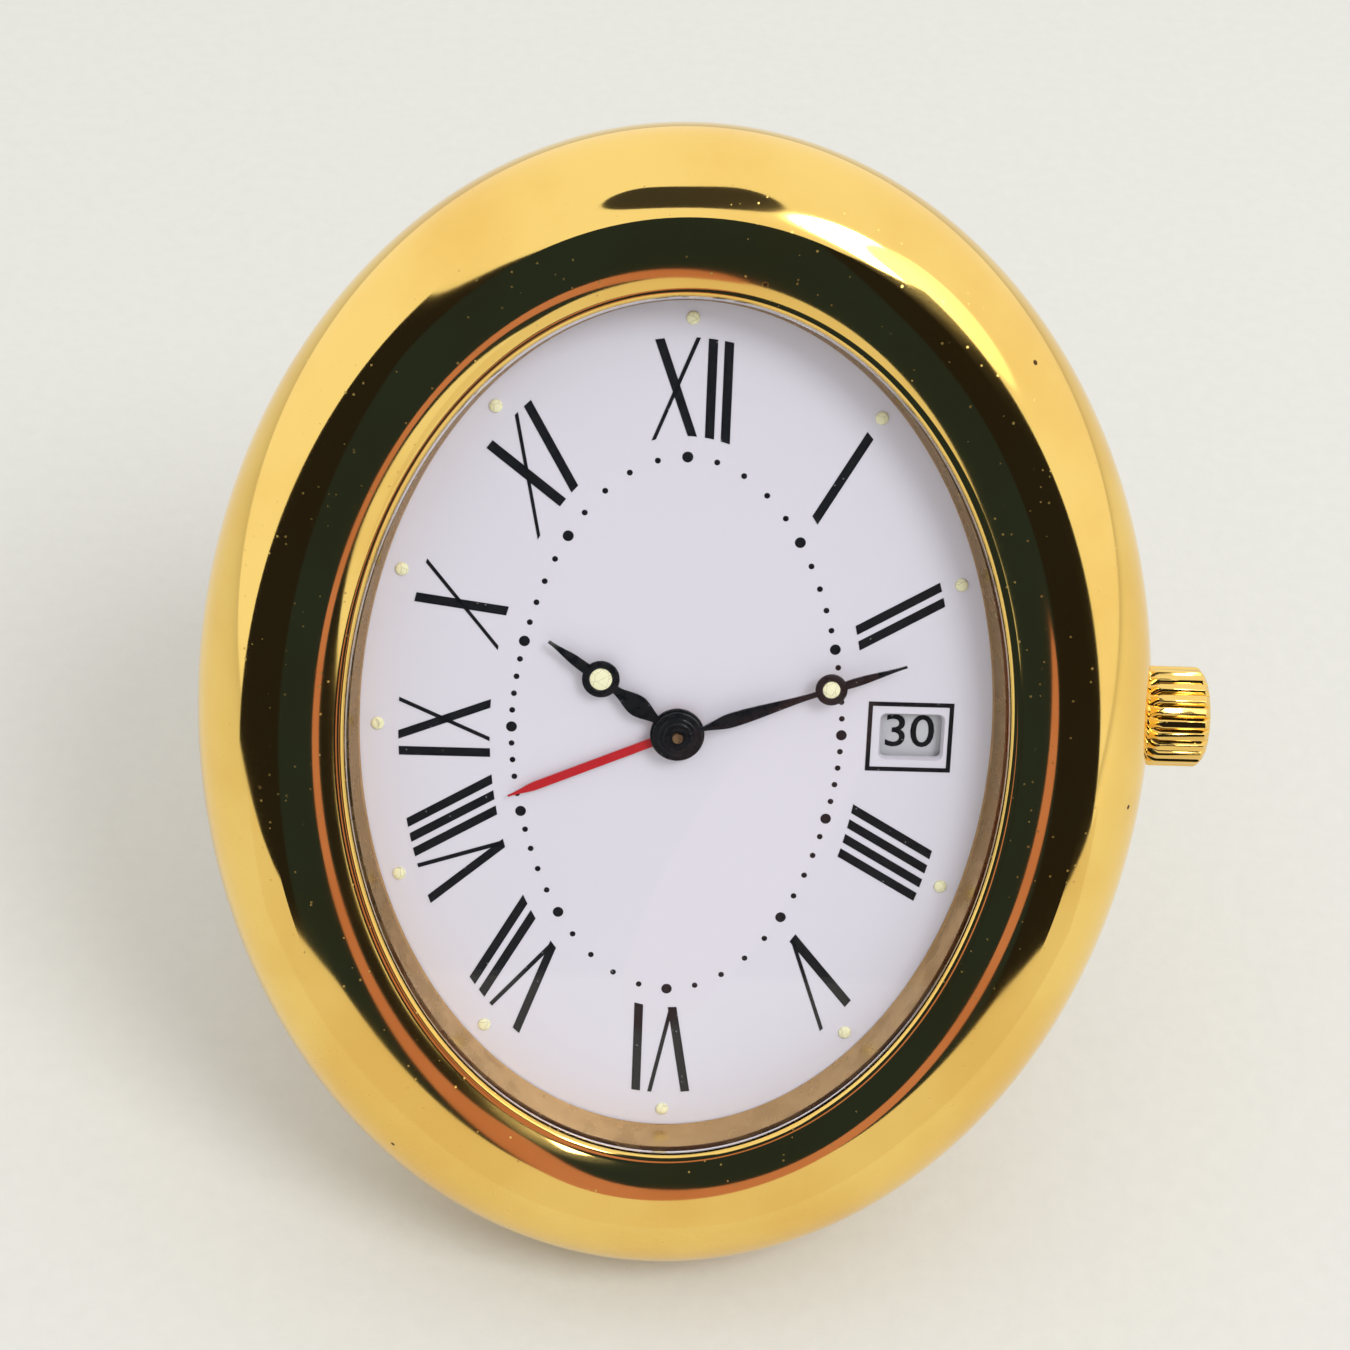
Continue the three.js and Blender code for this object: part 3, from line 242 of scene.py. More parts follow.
class Tree:
    """A new material and short ways to add nodes to it. Textures use the row frame, in metres."""

    def __init__(self, name):
        self.material = bpy.data.materials.new(name)
        self.material.use_nodes = True
        self.nodes = self.material.node_tree.nodes
        self.links = self.material.node_tree.links
        self.shader = self.nodes["Principled BSDF"]
        self.output = self.nodes["Material Output"]
        self.position = self.nodes.new("ShaderNodeTexCoord").outputs["Object"]

    def set(self, **values):
        for name, value in values.items():
            self.shader.inputs[name.replace("_", " ")].default_value = value

    def feed(self, name, socket):
        self.links.new(socket, self.shader.inputs[name])

    def add(self, kind, **inputs):
        node = self.nodes.new(kind)
        for name, value in inputs.items():
            socket = node.inputs[name.replace("_", " ")]
            if isinstance(value, bpy.types.NodeSocket):
                self.links.new(value, socket)
            else:
                socket.default_value = value
        return node

    def stretched(self, scale, rotation=(0, 0, 0)):
        mapping = self.add("ShaderNodeMapping", Vector=self.position, Scale=scale, Rotation=rotation)
        return mapping.outputs["Vector"]

    def noise(self, scale, detail=3.0, vector=None):
        vector = vector or self.position
        node = self.add("ShaderNodeTexNoise", Vector=vector, Scale=scale, Detail=detail)
        return node.outputs["Fac"]

    def between(self, value, low, high, out_low=0.0, out_high=1.0):
        """Eases a value's range from low to high into the range from out_low to out_high."""
        node = self.nodes.new("ShaderNodeMapRange")
        node.interpolation_type = "SMOOTHSTEP"
        self.links.new(value, node.inputs["Value"])
        node.inputs["From Min"].default_value = low
        node.inputs["From Max"].default_value = high
        node.inputs["To Min"].default_value = out_low
        node.inputs["To Max"].default_value = out_high
        return node.outputs["Result"]

    def maths(self, operation, first, second):
        node = self.nodes.new("ShaderNodeMath")
        node.operation = operation
        for value, socket in zip((first, second), node.inputs):
            if isinstance(value, bpy.types.NodeSocket):
                self.links.new(value, socket)
            else:
                socket.default_value = value
        return node.outputs["Value"]

    def mixed(self, share, first, second):
        """A colour between two; each is a socket or an (r, g, b)."""
        node = self.nodes.new("ShaderNodeMix")
        node.data_type = "RGBA"
        self.links.new(share, node.inputs["Factor"])
        for value, socket in zip((first, second), (node.inputs[6], node.inputs[7])):
            if isinstance(value, bpy.types.NodeSocket):
                self.links.new(value, socket)
            else:
                socket.default_value = (*value, 1)
        return node.outputs[2]

    def bump(self, height, depth, distance=0.00002):
        node = self.add("ShaderNodeBump", Height=height, Strength=depth, Distance=distance)
        self.feed("Normal", node.outputs["Normal"])

    def specks(self, scale, size, share, vector=None):
        """1 inside small round specks, in that share of the cells, and 0 elsewhere."""
        cells = self.add("ShaderNodeTexVoronoi", Vector=vector or self.position, Scale=scale)
        near = self.between(cells.outputs["Distance"], size, size * 0.6)
        draw = self.add("ShaderNodeSeparateColor", Color=cells.outputs["Color"]).outputs["Red"]
        return self.maths("MULTIPLY", near, self.maths("LESS_THAN", draw, share))

    def scratches(self, scale, share, rotation):
        """Short fine scratches in one direction: specks drawn out into lines."""
        return self.specks(scale, 0.07, share, self.stretched((1, 0.06, 1), rotation))


# ---------------------------------------------------------------------------------------------
# Materials
# ---------------------------------------------------------------------------------------------

GOLD = (0.97, 0.68, 0.20)
GOLD_DEEP = (0.90, 0.58, 0.15)


def polished_gilt():
    """Polished gold plating: faint hazy patches, hairline scratches, dust and small dark pits."""
    tree = Tree("polished_gilt")
    tree.set(Metallic=1.0)
    cloud = tree.noise(120.0, 4.0)
    pits = tree.specks(800.0, 0.13, 0.035)
    dust = tree.specks(2600.0, 0.2, 0.22)
    worn = tree.scratches(900.0, 0.1, (0.4, 0.9, 0.3))
    crossing = tree.scratches(1300.0, 0.08, (1.1, 0.2, 1.3))
    marks = tree.maths("MAXIMUM", dust, tree.maths("MAXIMUM", worn, crossing))
    colour = tree.mixed(tree.between(cloud, 0.35, 0.7), GOLD, GOLD_DEEP)
    colour = tree.mixed(pits, colour, (0.10, 0.05, 0.02))
    tree.feed("Base Color", colour)
    rough = tree.between(cloud, 0.3, 0.75, 0.05, 0.11)
    rough = tree.maths("ADD", rough, tree.maths("MULTIPLY", marks, 0.25))
    tree.feed("Roughness", tree.maths("ADD", rough, tree.maths("MULTIPLY", pits, 0.4)))
    height = tree.maths("SUBTRACT", tree.noise(500.0, 2.0), tree.maths("MULTIPLY", pits, 0.6))
    tree.bump(height, 0.05)
    return tree.material


def turned_gilt():
    """Gilt brass with an uneven grain, for the grooved ring round the dial."""
    tree = Tree("turned_gilt")
    tree.set(Metallic=1.0)
    streaks = tree.noise(700.0, 5.0)
    tree.feed("Base Color", tree.mixed(streaks, (0.72, 0.48, 0.20), (0.50, 0.31, 0.13)))
    tree.feed("Roughness", tree.between(streaks, 0.3, 0.7, 0.16, 0.34))
    tree.bump(tree.noise(3500.0, 2.0), 0.12)
    return tree.material


def brushed_gilt():
    """Gilt with a straight brushed grain up the dial, for the flat back and the leg."""
    tree = Tree("brushed_gilt")
    tree.set(Metallic=1.0)
    grain = tree.noise(2600.0, 4.0, tree.stretched((1, 0.02, 0.02)))
    haze = tree.noise(150.0, 3.0)
    colour = tree.mixed(grain, GOLD, GOLD_DEEP)
    tree.feed("Base Color", tree.mixed(tree.between(haze, 0.62, 0.8), colour, (0.70, 0.45, 0.13)))
    tree.feed("Roughness", tree.between(grain, 0.25, 0.75, 0.16, 0.34))
    tree.bump(grain, 0.35, 0.000015)
    return tree.material


def clear_glass():
    """Clean mineral glass that casts hardly any shadow and lets soft light straight through."""
    tree = Tree("clear_glass")
    tree.set(Transmission_Weight=1.0, IOR=1.3, Base_Color=(0.985, 0.99, 0.995, 1), Roughness=0.0)
    open_glass = tree.add("ShaderNodeBsdfTransparent", Color=(0.97, 0.975, 0.98, 1))
    path = tree.nodes.new("ShaderNodeLightPath")
    through = tree.maths("MAXIMUM", path.outputs["Is Shadow Ray"], path.outputs["Is Diffuse Ray"])
    mix = tree.add("ShaderNodeMixShader", Fac=through)
    tree.links.new(tree.shader.outputs["BSDF"], mix.inputs[1])
    tree.links.new(open_glass.outputs["BSDF"], mix.inputs[2])
    tree.links.new(mix.outputs["Shader"], tree.output.inputs["Surface"])
    return tree.material


def dial_paint():
    """Satin lavender-white paint with a faint cloudiness."""
    tree = Tree("dial_paint")
    cloud = tree.noise(90.0, 3.0)
    fine = tree.noise(6000.0, 2.0)
    tree.feed("Base Color", tree.mixed(cloud, (0.66, 0.635, 0.71), (0.63, 0.605, 0.68)))
    tree.feed("Roughness", tree.between(fine, 0.3, 0.7, 0.36, 0.5))
    tree.bump(fine, 0.06)
    return tree.material


def print_ink():
    """Slightly raised black printing with pinholes."""
    tree = Tree("print_ink")
    tree.set(Specular_IOR_Level=0.25)
    holes = tree.specks(5200.0, 0.2, 0.05)
    tree.feed("Base Color", tree.mixed(holes, (0.007, 0.007, 0.009), (0.30, 0.29, 0.32)))
    tree.feed("Roughness", tree.between(tree.noise(3000.0), 0.3, 0.7, 0.3, 0.5))
    return tree.material


def hand_lacquer():
    tree = Tree("hand_lacquer")
    tree.set(Coat_Weight=0.2, Coat_Roughness=0.1, Specular_IOR_Level=0.3)
    lint = tree.specks(4500.0, 0.18, 0.06)
    tree.feed("Base Color", tree.mixed(lint, (0.006, 0.006, 0.007), (0.16, 0.16, 0.17)))
    tree.feed("Roughness", tree.between(tree.noise(2200.0), 0.3, 0.7, 0.22, 0.4))
    return tree.material


def hand_edge():
    """The hands' stamped edges, where the metal shines through the lacquer."""
    tree = Tree("hand_edge")
    tree.set(Metallic=1.0)
    shade = tree.noise(2500.0, 3.0)
    tree.feed("Base Color", tree.mixed(shade, (0.10, 0.10, 0.11), (0.45, 0.44, 0.43)))
    tree.feed("Roughness", tree.between(shade, 0.3, 0.7, 0.2, 0.4))
    return tree.material


def red_paint():
    tree = Tree("red_paint")
    tree.set(Specular_IOR_Level=0.3)
    chips = tree.scratches(2400.0, 0.12, (0.2, 0.5, 1.0))
    tree.feed("Base Color", tree.mixed(chips, (0.45, 0.009, 0.014), (0.70, 0.36, 0.36)))
    tree.feed("Roughness", tree.between(tree.noise(2600.0), 0.3, 0.7, 0.28, 0.42))
    return tree.material


def luminous_paint():
    """Pale cream luminous compound with hairline cracks and a grainy surface."""
    tree = Tree("luminous_paint")
    tree.set(Subsurface_Weight=0.1, Subsurface_Radius=(0.0003, 0.0003, 0.0002))
    grain = tree.noise(6000.0, 4.0)
    crack = tree.nodes.new("ShaderNodeTexVoronoi")
    crack.feature = "DISTANCE_TO_EDGE"
    crack.inputs["Scale"].default_value = 2200.0
    tree.links.new(tree.position, crack.inputs["Vector"])
    line = tree.between(crack.outputs["Distance"], 0.035, 0.0)
    colour = tree.mixed(grain, (0.84, 0.82, 0.56), (0.75, 0.72, 0.46))
    tree.feed("Base Color", tree.mixed(line, colour, (0.46, 0.41, 0.24)))
    tree.feed("Roughness", tree.between(grain, 0.3, 0.7, 0.6, 0.8))
    tree.bump(grain, 0.4)
    return tree.material


def plain_metal(name, colour, dark, roughness):
    """Machined movement metal: a fine grain and soft stains."""
    tree = Tree(name)
    tree.set(Metallic=1.0)
    stain = tree.noise(300.0, 4.0)
    grain = tree.noise(2200.0, 4.0, tree.stretched((1, 0.08, 0.08)))
    tree.feed("Base Color", tree.mixed(stain, colour, dark))
    tree.feed("Roughness", tree.between(grain, 0.25, 0.75, roughness * 0.7, roughness * 1.4))
    tree.bump(grain, 0.15)
    return tree.material


def moulded(name, colour, dark, roughness):
    """A moulded or coated surface with a fine matt grain."""
    tree = Tree(name)
    grain = tree.noise(3000.0, 3.0)
    tree.feed("Base Color", tree.mixed(tree.noise(200.0, 2.0), colour, dark))
    tree.feed("Roughness", tree.between(grain, 0.3, 0.7, roughness * 0.85, roughness * 1.15))
    tree.bump(grain, 0.2)
    return tree.material


def wound_copper():
    """Fine enamelled wire laid side by side round the coil."""
    tree = Tree("wound_copper")
    tree.set(Metallic=0.8)
    wire = tree.add("ShaderNodeTexWave", Vector=tree.position, Scale=1500.0, Distortion=0.4)
    tree.feed("Base Color", tree.mixed(wire.outputs["Fac"], (0.36, 0.12, 0.04), (0.74, 0.33, 0.14)))
    tree.feed("Roughness", tree.between(wire.outputs["Fac"], 0.0, 1.0, 0.45, 0.25))
    tree.bump(wire.outputs["Fac"], 0.5)
    return tree.material


GILT = polished_gilt()
TURNED_GILT = turned_gilt()
BRUSHED_GILT = brushed_gilt()
GLASS = clear_glass()
PAINT = dial_paint()
INK = print_ink()
LACQUER = hand_lacquer()
EDGE = hand_edge()
RED = red_paint()
LUME = luminous_paint()
STEEL = plain_metal("nickel_steel", (0.62, 0.62, 0.63), (0.45, 0.45, 0.47), 0.22)
BRASS = plain_metal("movement_brass", (0.75, 0.55, 0.27), (0.58, 0.40, 0.19), 0.3)
SEAL = moulded("seal_rubber", (0.12, 0.045, 0.035), (0.16, 0.07, 0.05), 0.5)
WHITE = moulded("white_plastic", (0.62, 0.62, 0.63), (0.57, 0.57, 0.58), 0.5)
DISC = moulded("date_disc_plastic", (0.52, 0.52, 0.55), (0.47, 0.47, 0.50), 0.45)
BOARD = moulded("circuit_green", (0.02, 0.09, 0.04), (0.03, 0.12, 0.05), 0.45)
RESIN = moulded("black_resin", (0.012, 0.012, 0.013), (0.02, 0.02, 0.02), 0.5)
CERAMIC = moulded("piezo_ceramic", (0.60, 0.57, 0.50), (0.54, 0.51, 0.44), 0.7)
COPPER = wound_copper()

SLOT_FINISH = {
    "gilt": GILT,
    "window_glass": GLASS,
    "seal": SEAL,
    "brass": BRASS,
    "dial_paint": PAINT,
    "black_paint": LACQUER,
    "red_paint": RED,
    "lume": LUME,
    "steel": STEEL,
    "white_plastic": WHITE,
    "circuit_green": BOARD,
    "black_resin": RESIN,
    "copper": COPPER,
    "ceramic": CERAMIC,
}


def finish_cad_nodes():
    """Gives every CAD node the finish of its material slot."""
    for part in record["subparts"]:
        mesh = frame["nodes"][part["node"]].data
        mesh.materials.clear()
        mesh.materials.append(SLOT_FINISH[part["material_slot"]])


# ---------------------------------------------------------------------------------------------
# Case, glass and rings
# ---------------------------------------------------------------------------------------------

BAND = {"depth": 4.7, "widest": -1.3, "rise": 4.9, "drop": 8.2, "back_angle": radians(75)}
BAND_STEPS = 28
RIDGE_TILT = {"outer": radians(12.5), "inner": radians(6.6)}
CREST_STEPS = 8
SLOPE_STEPS = 18
LIP_CORNER = 0.38
LIP_CORNER_STEPS = 8
TUBE_HOLE = {"radius": 1.15, "inner": 15.5, "outer": 24.0}
FLANGE_INSET = 6.87


def band_point(angle):
    """A point on the outer band's quarter ellipses, as (inset, z)."""
    reach = BAND["drop"] if angle < 0 else BAND["rise"]
    return BAND["depth"] * (1 - cos(angle)), BAND["widest"] + reach * sin(angle)


def case_band():
    """The domed ring: an outer band, a rounded crest and an inner slope down to the lip."""
    profile = []
    ridge_angle = atan(BAND["rise"] / BAND["depth"] / tan(RIDGE_TILT["outer"]))
    for step in range(-BAND_STEPS, BAND_STEPS + 1):
        limit = BAND["back_angle"] if step < 0 else ridge_angle
        profile.append(band_point(limit * step / BAND_STEPS))
    profile.insert(-1, band_point(ridge_angle - 0.004))
    ridge, ridge_height = profile[-1]
    crest_rise = tan(RIDGE_TILT["inner"]) * (BAND["depth"] - ridge) / 2
    crest = ridge_height + crest_rise
    for along in (0.012, 0.024):
        profile.append((ridge + along, ridge_height + along * tan(RIDGE_TILT["inner"])))
    for step in range(1, CREST_STEPS + 1):
        share = 1 - step / CREST_STEPS
        profile.append((BAND["depth"] - share * (BAND["depth"] - ridge), crest - share**2 * crest_rise))
    corner = LIP_CORNER
    for step in range(1, SLOPE_STEPS + 1):
        share = step / SLOPE_STEPS
        inset = BAND["depth"] + share * (LIP_INSET - corner - BAND["depth"])
        profile.append((inset, crest - share**2 * (crest - LIP_TOP)))
    for step in range(1, LIP_CORNER_STEPS + 1):
        angle = pi / 2 * step / LIP_CORNER_STEPS
        profile.append((LIP_INSET - corner + corner * sin(angle), LIP_TOP - corner + corner * cos(angle)))
    profile += [(LIP_INSET, 2.42), (6.75, 2.42), (6.75, 1.5), (6.2, 1.5), (6.2, -7.9), (4.0, -7.9)]
    profile.append((4.0, profile[0][1]))
    band = piece("case_band", swept(profile), [GILT], "case", ["front_case"])
    radius = TUBE_HOLE["radius"]
    tube_hole = lathed([(radius, TUBE_HOLE["inner"]), (radius, TUBE_HOLE["outer"])], 32)
    return carved(band, moved(tube_hole, STEM))


STEM_Z = -4.46
STEM = Matrix.Translation((0, 0, STEM_Z)) @ Matrix.Rotation(pi / 2, 4, "Y")


def crystal():
    """Flat glass with a small bevelled edge and a flange that runs under the lip."""
    profile = [
        (FLANGE_INSET, 1.96), (FLANGE_INSET, 2.2), (7.37, 2.2), (7.37, 2.52),
        (7.38, 2.55), (7.4, 2.58), (7.44, GLASS_TOP),
    ]
    glass = swept(profile, capped=True)
    return piece("crystal_glass", glass, [GLASS], "case", ["crystal"], sharp=15)


def gasket():
    profile = [(FLANGE_INSET, 2.26), (7.33, 2.26), (7.33, 2.39), (FLANGE_INSET, 2.39)]
    return piece("crystal_seal", swept(profile), [SEAL], "case", ["crystal_gasket"])


def rehaut():
    """The turned ring between glass and dial, with fine turning grooves down its wall."""
    grooves = 6
    low, high = 0.05, 1.9
    profile = [(FLANGE_INSET, low), (FLANGE_INSET, high)]
    for step in range(2 * grooves + 1):
        share = step / (2 * grooves)
        z = high - 0.04 - (high - low - 0.08) * share
        depth = 0.06 if step % 2 else 0.0
        profile.append((7.48 + 0.36 * share - depth, z))
    profile.append((7.8, low))
    return piece("dial_ring", swept(profile), [TURNED_GILT], "case", ["rehaut_ring"], sharp=60)


# ---------------------------------------------------------------------------------------------
# Dial and its printing
# ---------------------------------------------------------------------------------------------

PRINT = 0.025
DATE_X = 11.3
WINDOW = (3.1, 2.3)
NUMERAL_FEET = (8.95, 14.35)
NUMERAL_HEADS = (13.3, 18.95)
THICK = 0.43
THIN = 0.2
LETTER = 2.1
BAR_PITCH = 0.74
BAR_GAP = 0.58
NUMERALS = ["XII", "I", "II", None, "IIII", "V", "VI", "VII", "VIII", "IX", "X", "XI"]


def rounded_box(width, height, corner, steps=6):
    points = []
    for quarter, (sx, sy) in enumerate([(1, 1), (-1, 1), (-1, -1), (1, -1)]):
        for step in range(steps + 1):
            angle = pi / 2 * (quarter + step / steps)
            x = sx * (width / 2 - corner) + corner * cos(angle)
            y = sy * (height / 2 - corner) + corner * sin(angle)
            points.append((x, y))
    return points


def dial_plate():
    plate = swept([(6.42, -0.4), (6.42, -0.03), (6.45, 0.0)], capped=True)
    dial = piece("dial_plate", plate, [PAINT], "case", ["dial"], sharp=20)
    centre_hole = lathed([(1.0, -1.0), (1.0, 1.0)], 48)
    window = bevelled_window(*WINDOW)
    return carved(dial, centre_hole, window)


def bevelled_window(width, height):
    """A cutter that leaves a sloping rim round the date window."""
    slope = 0.16
    outlines = []
    for grow, z in ((-slope, -1.0), (-slope, -0.2), (slope, 0.12)):
        corners = rounded_box(width + grow, height + grow, 0.3 + grow / 4)
        outlines.append((z, [(DATE_X + x, y) for x, y in corners]))
    return lofted(outlines)


def reach_to(oval, side, angle):
    """How far out a line at that sideways offset from a radius meets an oval of two half sizes."""
    outward = Vector((sin(angle), cos(angle)))
    across = Vector((cos(angle), -sin(angle)))
    a, b = oval
    start = across * side
    p = (outward.x / a) ** 2 + (outward.y / b) ** 2
    q = start.x * outward.x / a**2 + start.y * outward.y / b**2
    r = (start.x / a) ** 2 + (start.y / b) ** 2 - 1
    return (-q + sqrt(q * q - p * r)) / p


def stroke(foot, head, width, angle):
    """One straight stroke between the feet's oval and the heads' oval; foot and head are sideways
    offsets from the numeral's radius, and its ends follow the ovals."""
    outline = []
    for middle, oval, signs in ((foot, NUMERAL_FEET, (-1, 1)), (head, NUMERAL_HEADS, (1, -1))):
        for sign in signs:
            side = middle + sign * width / 2
            outline.append((side, reach_to(oval, side, angle)))
    return slab(outline, 0.0, PRINT)


def numeral(letters, clockwise):
    """A Roman numeral on its radius, feet towards the centre."""
    angle = radians(clockwise)
    total = sum(LETTER for letter in letters if letter != "I")
    for left, right in zip(letters, letters[1:]):
        total += BAR_PITCH if left == right == "I" else BAR_GAP
    cursor = -total / 2
    strokes = []
    previous = None
    for letter in letters:
        if previous is not None:
            cursor += BAR_PITCH if previous == letter == "I" else BAR_GAP
        if letter == "I":
            strokes.append(stroke(cursor, cursor, THICK, angle))
        else:
            thick_head = cursor + THICK / 2
            thin_head = cursor + LETTER - THIN / 2
            middle = cursor + LETTER / 2
            thick_foot = middle - 0.02 if letter == "V" else cursor + LETTER - THICK / 2
            thin_foot = middle + 0.02 if letter == "V" else cursor + THIN / 2
            strokes.append(stroke(thick_foot, thick_head, THICK, angle))
            strokes.append(stroke(thin_foot, thin_head, THIN, angle))
            cursor += LETTER
        previous = letter
    return [turned(bar, clockwise) for bar in strokes]


def numerals():
    strokes = []
    for hour, letters in enumerate(NUMERALS):
        if letters:
            strokes += numeral(letters, 30 * hour)
    return piece("roman_numerals", merged(strokes), [INK], "case")


def dot(x, y, radius, height, steps=20, rings=4):
    """A low round dot with a domed top."""
    profile = [(radius, 0.0)]
    for ring in range(rings):
        angle = pi / 2 * ring / rings
        profile.append((radius * cos(angle), height * (0.35 + 0.65 * sin(angle))))
    return moved(lathed(profile, steps), Matrix.Translation((x, y, 0)))


MINUTE_OVAL = (7.91, 13.36)
LUME_OVAL = (14.28, 19.85)


def on_oval(oval, angle):
    """A point on an oval, in the direction of a clockwise angle from twelve."""
    reach = reach_to(oval, 0.0, angle)
    return reach * sin(angle), reach * cos(angle)


def minute_dots():
    dots = []
    for minute in range(60):
        angle = radians(6 * minute)
        squeeze = 1 - 0.018 * sin(2 * angle) ** 2
        x, y = on_oval(MINUTE_OVAL, angle)
        radius = 0.26 if minute % 5 == 0 else 0.14
        dots.append(dot(x * squeeze, y * squeeze, radius, PRINT))
    return piece("minute_dots", merged(dots), [INK], "case")


def hour_dots():
    dots = []
    for hour in range(12):
        if hour != 3:
            x, y = on_oval(LUME_OVAL, radians(30 * hour))
            dots.append(dot(x, y, 0.31, 0.16, steps=28, rings=6))
    return piece("hour_dots", merged(dots), [LUME], "case")


def date_frame():
    """The thin black rectangle printed round the date window."""
    outer_x, outer_y, line = 2.06, 1.74, 0.21
    sides = []
    for sign in (-1, 1):
        y = sign * (outer_y - line / 2)
        sides.append(bar(DATE_X - 0.1, y, 2 * outer_x, line))
        x = DATE_X - 0.1 + sign * (outer_x - line / 2)
        sides.append(bar(x, 0, line, 2 * (outer_y - line)))
    return piece("date_frame", merged(sides), [INK], "case")


def bar(x, y, width, height):
    half_x, half_y = width / 2, height / 2
    signs = [(-1, -1), (1, -1), (1, 1), (-1, 1)]
    outline = [(x + side * half_x, y + end * half_y) for side, end in signs]
    return slab(outline, 0.0, PRINT)


# ---------------------------------------------------------------------------------------------
# Date disc
# ---------------------------------------------------------------------------------------------

DATE_DISC = {"low": -1.0, "high": -0.72, "outer": 13.05, "root": 9.3, "tip": 8.75}
DAYS = 31
DAY_SHOWN = 30
DIGIT_HEIGHT = 1.68


def date_disc():
    low, high = DATE_DISC["low"], DATE_DISC["high"]
    bm = bmesh.new()
    outer, inner = [], []
    steps = DAYS * 8
    for z in (low, high):
        rim = [round_point(DATE_DISC["outer"], 2 * pi * i / steps) for i in range(steps)]
        outer.append([bm.verts.new((*point, z)) for point in rim])
        ring = []
        for i in range(steps):
            radius = DATE_DISC["root"] if i % 8 > 1 else DATE_DISC["tip"]
            ring.append(bm.verts.new((*round_point(radius, 2 * pi * (i + 1) / steps), z)))
        inner.append(ring)
    for i in range(steps):
        after = (i + 1) % steps
        bm.faces.new((outer[0][i], outer[0][after], outer[1][after], outer[1][i]))
        bm.faces.new((inner[0][i], inner[1][i], inner[1][after], inner[0][after]))
        for level in (0, 1):
            bm.faces.new((outer[level][i], outer[level][after], inner[level][after], inner[level][i]))
    bmesh.ops.recalc_face_normals(bm, faces=bm.faces)
    return piece("date_ring", bm, [DISC], "date_disc", ["date_disc"])


def number_mesh(number):
    """A day's number, centred, as a thin raised print."""
    curve = bpy.data.curves.new("number", "FONT")
    curve.body = str(number)
    curve.size = DIGIT_HEIGHT / 0.73
    curve.align_x = "CENTER"
    curve.extrude = 0.01
    curve.offset = 0.012
    curve.resolution_u = 4
    holder = linked("number", curve)
    mesh = evaluated_mesh(holder)
    bm = bmesh.new()
    bm.from_mesh(mesh)
    bpy.data.objects.remove(holder)
    bpy.data.curves.remove(curve)
    bpy.data.meshes.remove(mesh)
    low = min(vert.co.y for vert in bm.verts)
    high = max(vert.co.y for vert in bm.verts)
    bmesh.ops.translate(bm, verts=bm.verts, vec=(0, -(low + high) / 2, 0))
    return moved(bm, Matrix.Scale(1.12, 4, (1, 0, 0)))


def day_numbers():
    numbers = []
    for day in range(1, DAYS + 1):
        angle = 2 * pi * (day - DAY_SHOWN) / DAYS
        place = Matrix.Translation((DATE_X - 0.05, 0.1, DATE_DISC["high"] + 0.012))
        outwards = Matrix.Rotation(angle, 4, "Z") @ place
        numbers.append(moved(number_mesh(day), outwards))
    return piece("day_numbers", merged(numbers), [INK], "date_disc")


# ---------------------------------------------------------------------------------------------
# Hands
# ---------------------------------------------------------------------------------------------


def smooth_edge(points, per_span=8):
    """Half widths between (along, half width) points, eased so that the outline has no corners."""
    edge = []
    for (start, from_width), (end, to_width) in zip(points, points[1:]):
        for step in range(per_span):
            share = step / per_span
            eased = share * share * (3 - 2 * share)
            edge.append((start + (end - start) * share, from_width + (to_width - from_width) * eased))
    return [*edge, points[-1]]


def blade(points, low, high, ridge):
    """A hand's blade: flat underneath, with a low ridge along its top. Face material 1 is its edge."""
    bm = bmesh.new()
    rows = []
    for along, half in smooth_edge(points):
        row = [(-half, low), (half, low), (half, high - ridge), (0, high), (-half, high - ridge)]
        rows.append([bm.verts.new((x, along, z)) for x, z in row])
    for near, far in zip(rows, rows[1:]):
        for i in range(5):
            after = (i + 1) % 5
            face = bm.faces.new((near[i], near[after], far[after], far[i]))
            face.material_index = 1 if i in (1, 4) else 0
    bm.faces.new(rows[0])
    bm.faces.new(rows[-1])
    bmesh.ops.recalc_face_normals(bm, faces=bm.faces)
    return bm


def eye_ring(centre, inner, outer, low, high):
    """The round eye that holds the luminous paint; its rim is rounded over."""
    bevel = 0.05
    profile = [
        (inner, low), (outer, low), (outer, high - bevel), (outer - bevel * 0.3, high - bevel * 0.3),
        (outer - bevel, high), (inner + bevel, high), (inner, high - bevel),
    ]
    ring = lathed(profile, 40, capped=False)
    return moved(ring, Matrix.Translation((0, centre, 0)))


def hub(low, steps_up, bore):
    """A stepped round boss from (radius, top) steps, widest first, with a hole for the pipe."""
    profile = [(bore, low), (steps_up[0][0], low)]
    for radius, top in steps_up:
        profile.append((radius, top - 0.03))
        profile.append((radius - 0.04, top))
    profile.append((bore, steps_up[-1][1]))
    return lathed(profile, 56, capped=False)


MINUTE_HAND = {"low": 0.85, "high": 0.97, "eye": 7.65, "ring": 0.77, "lume": 0.42, "tip": 11.4}
HOUR_HAND = {"low": 0.55, "high": 0.67, "eye": 4.57, "ring": 0.9, "lume": 0.54, "tip": 7.65}


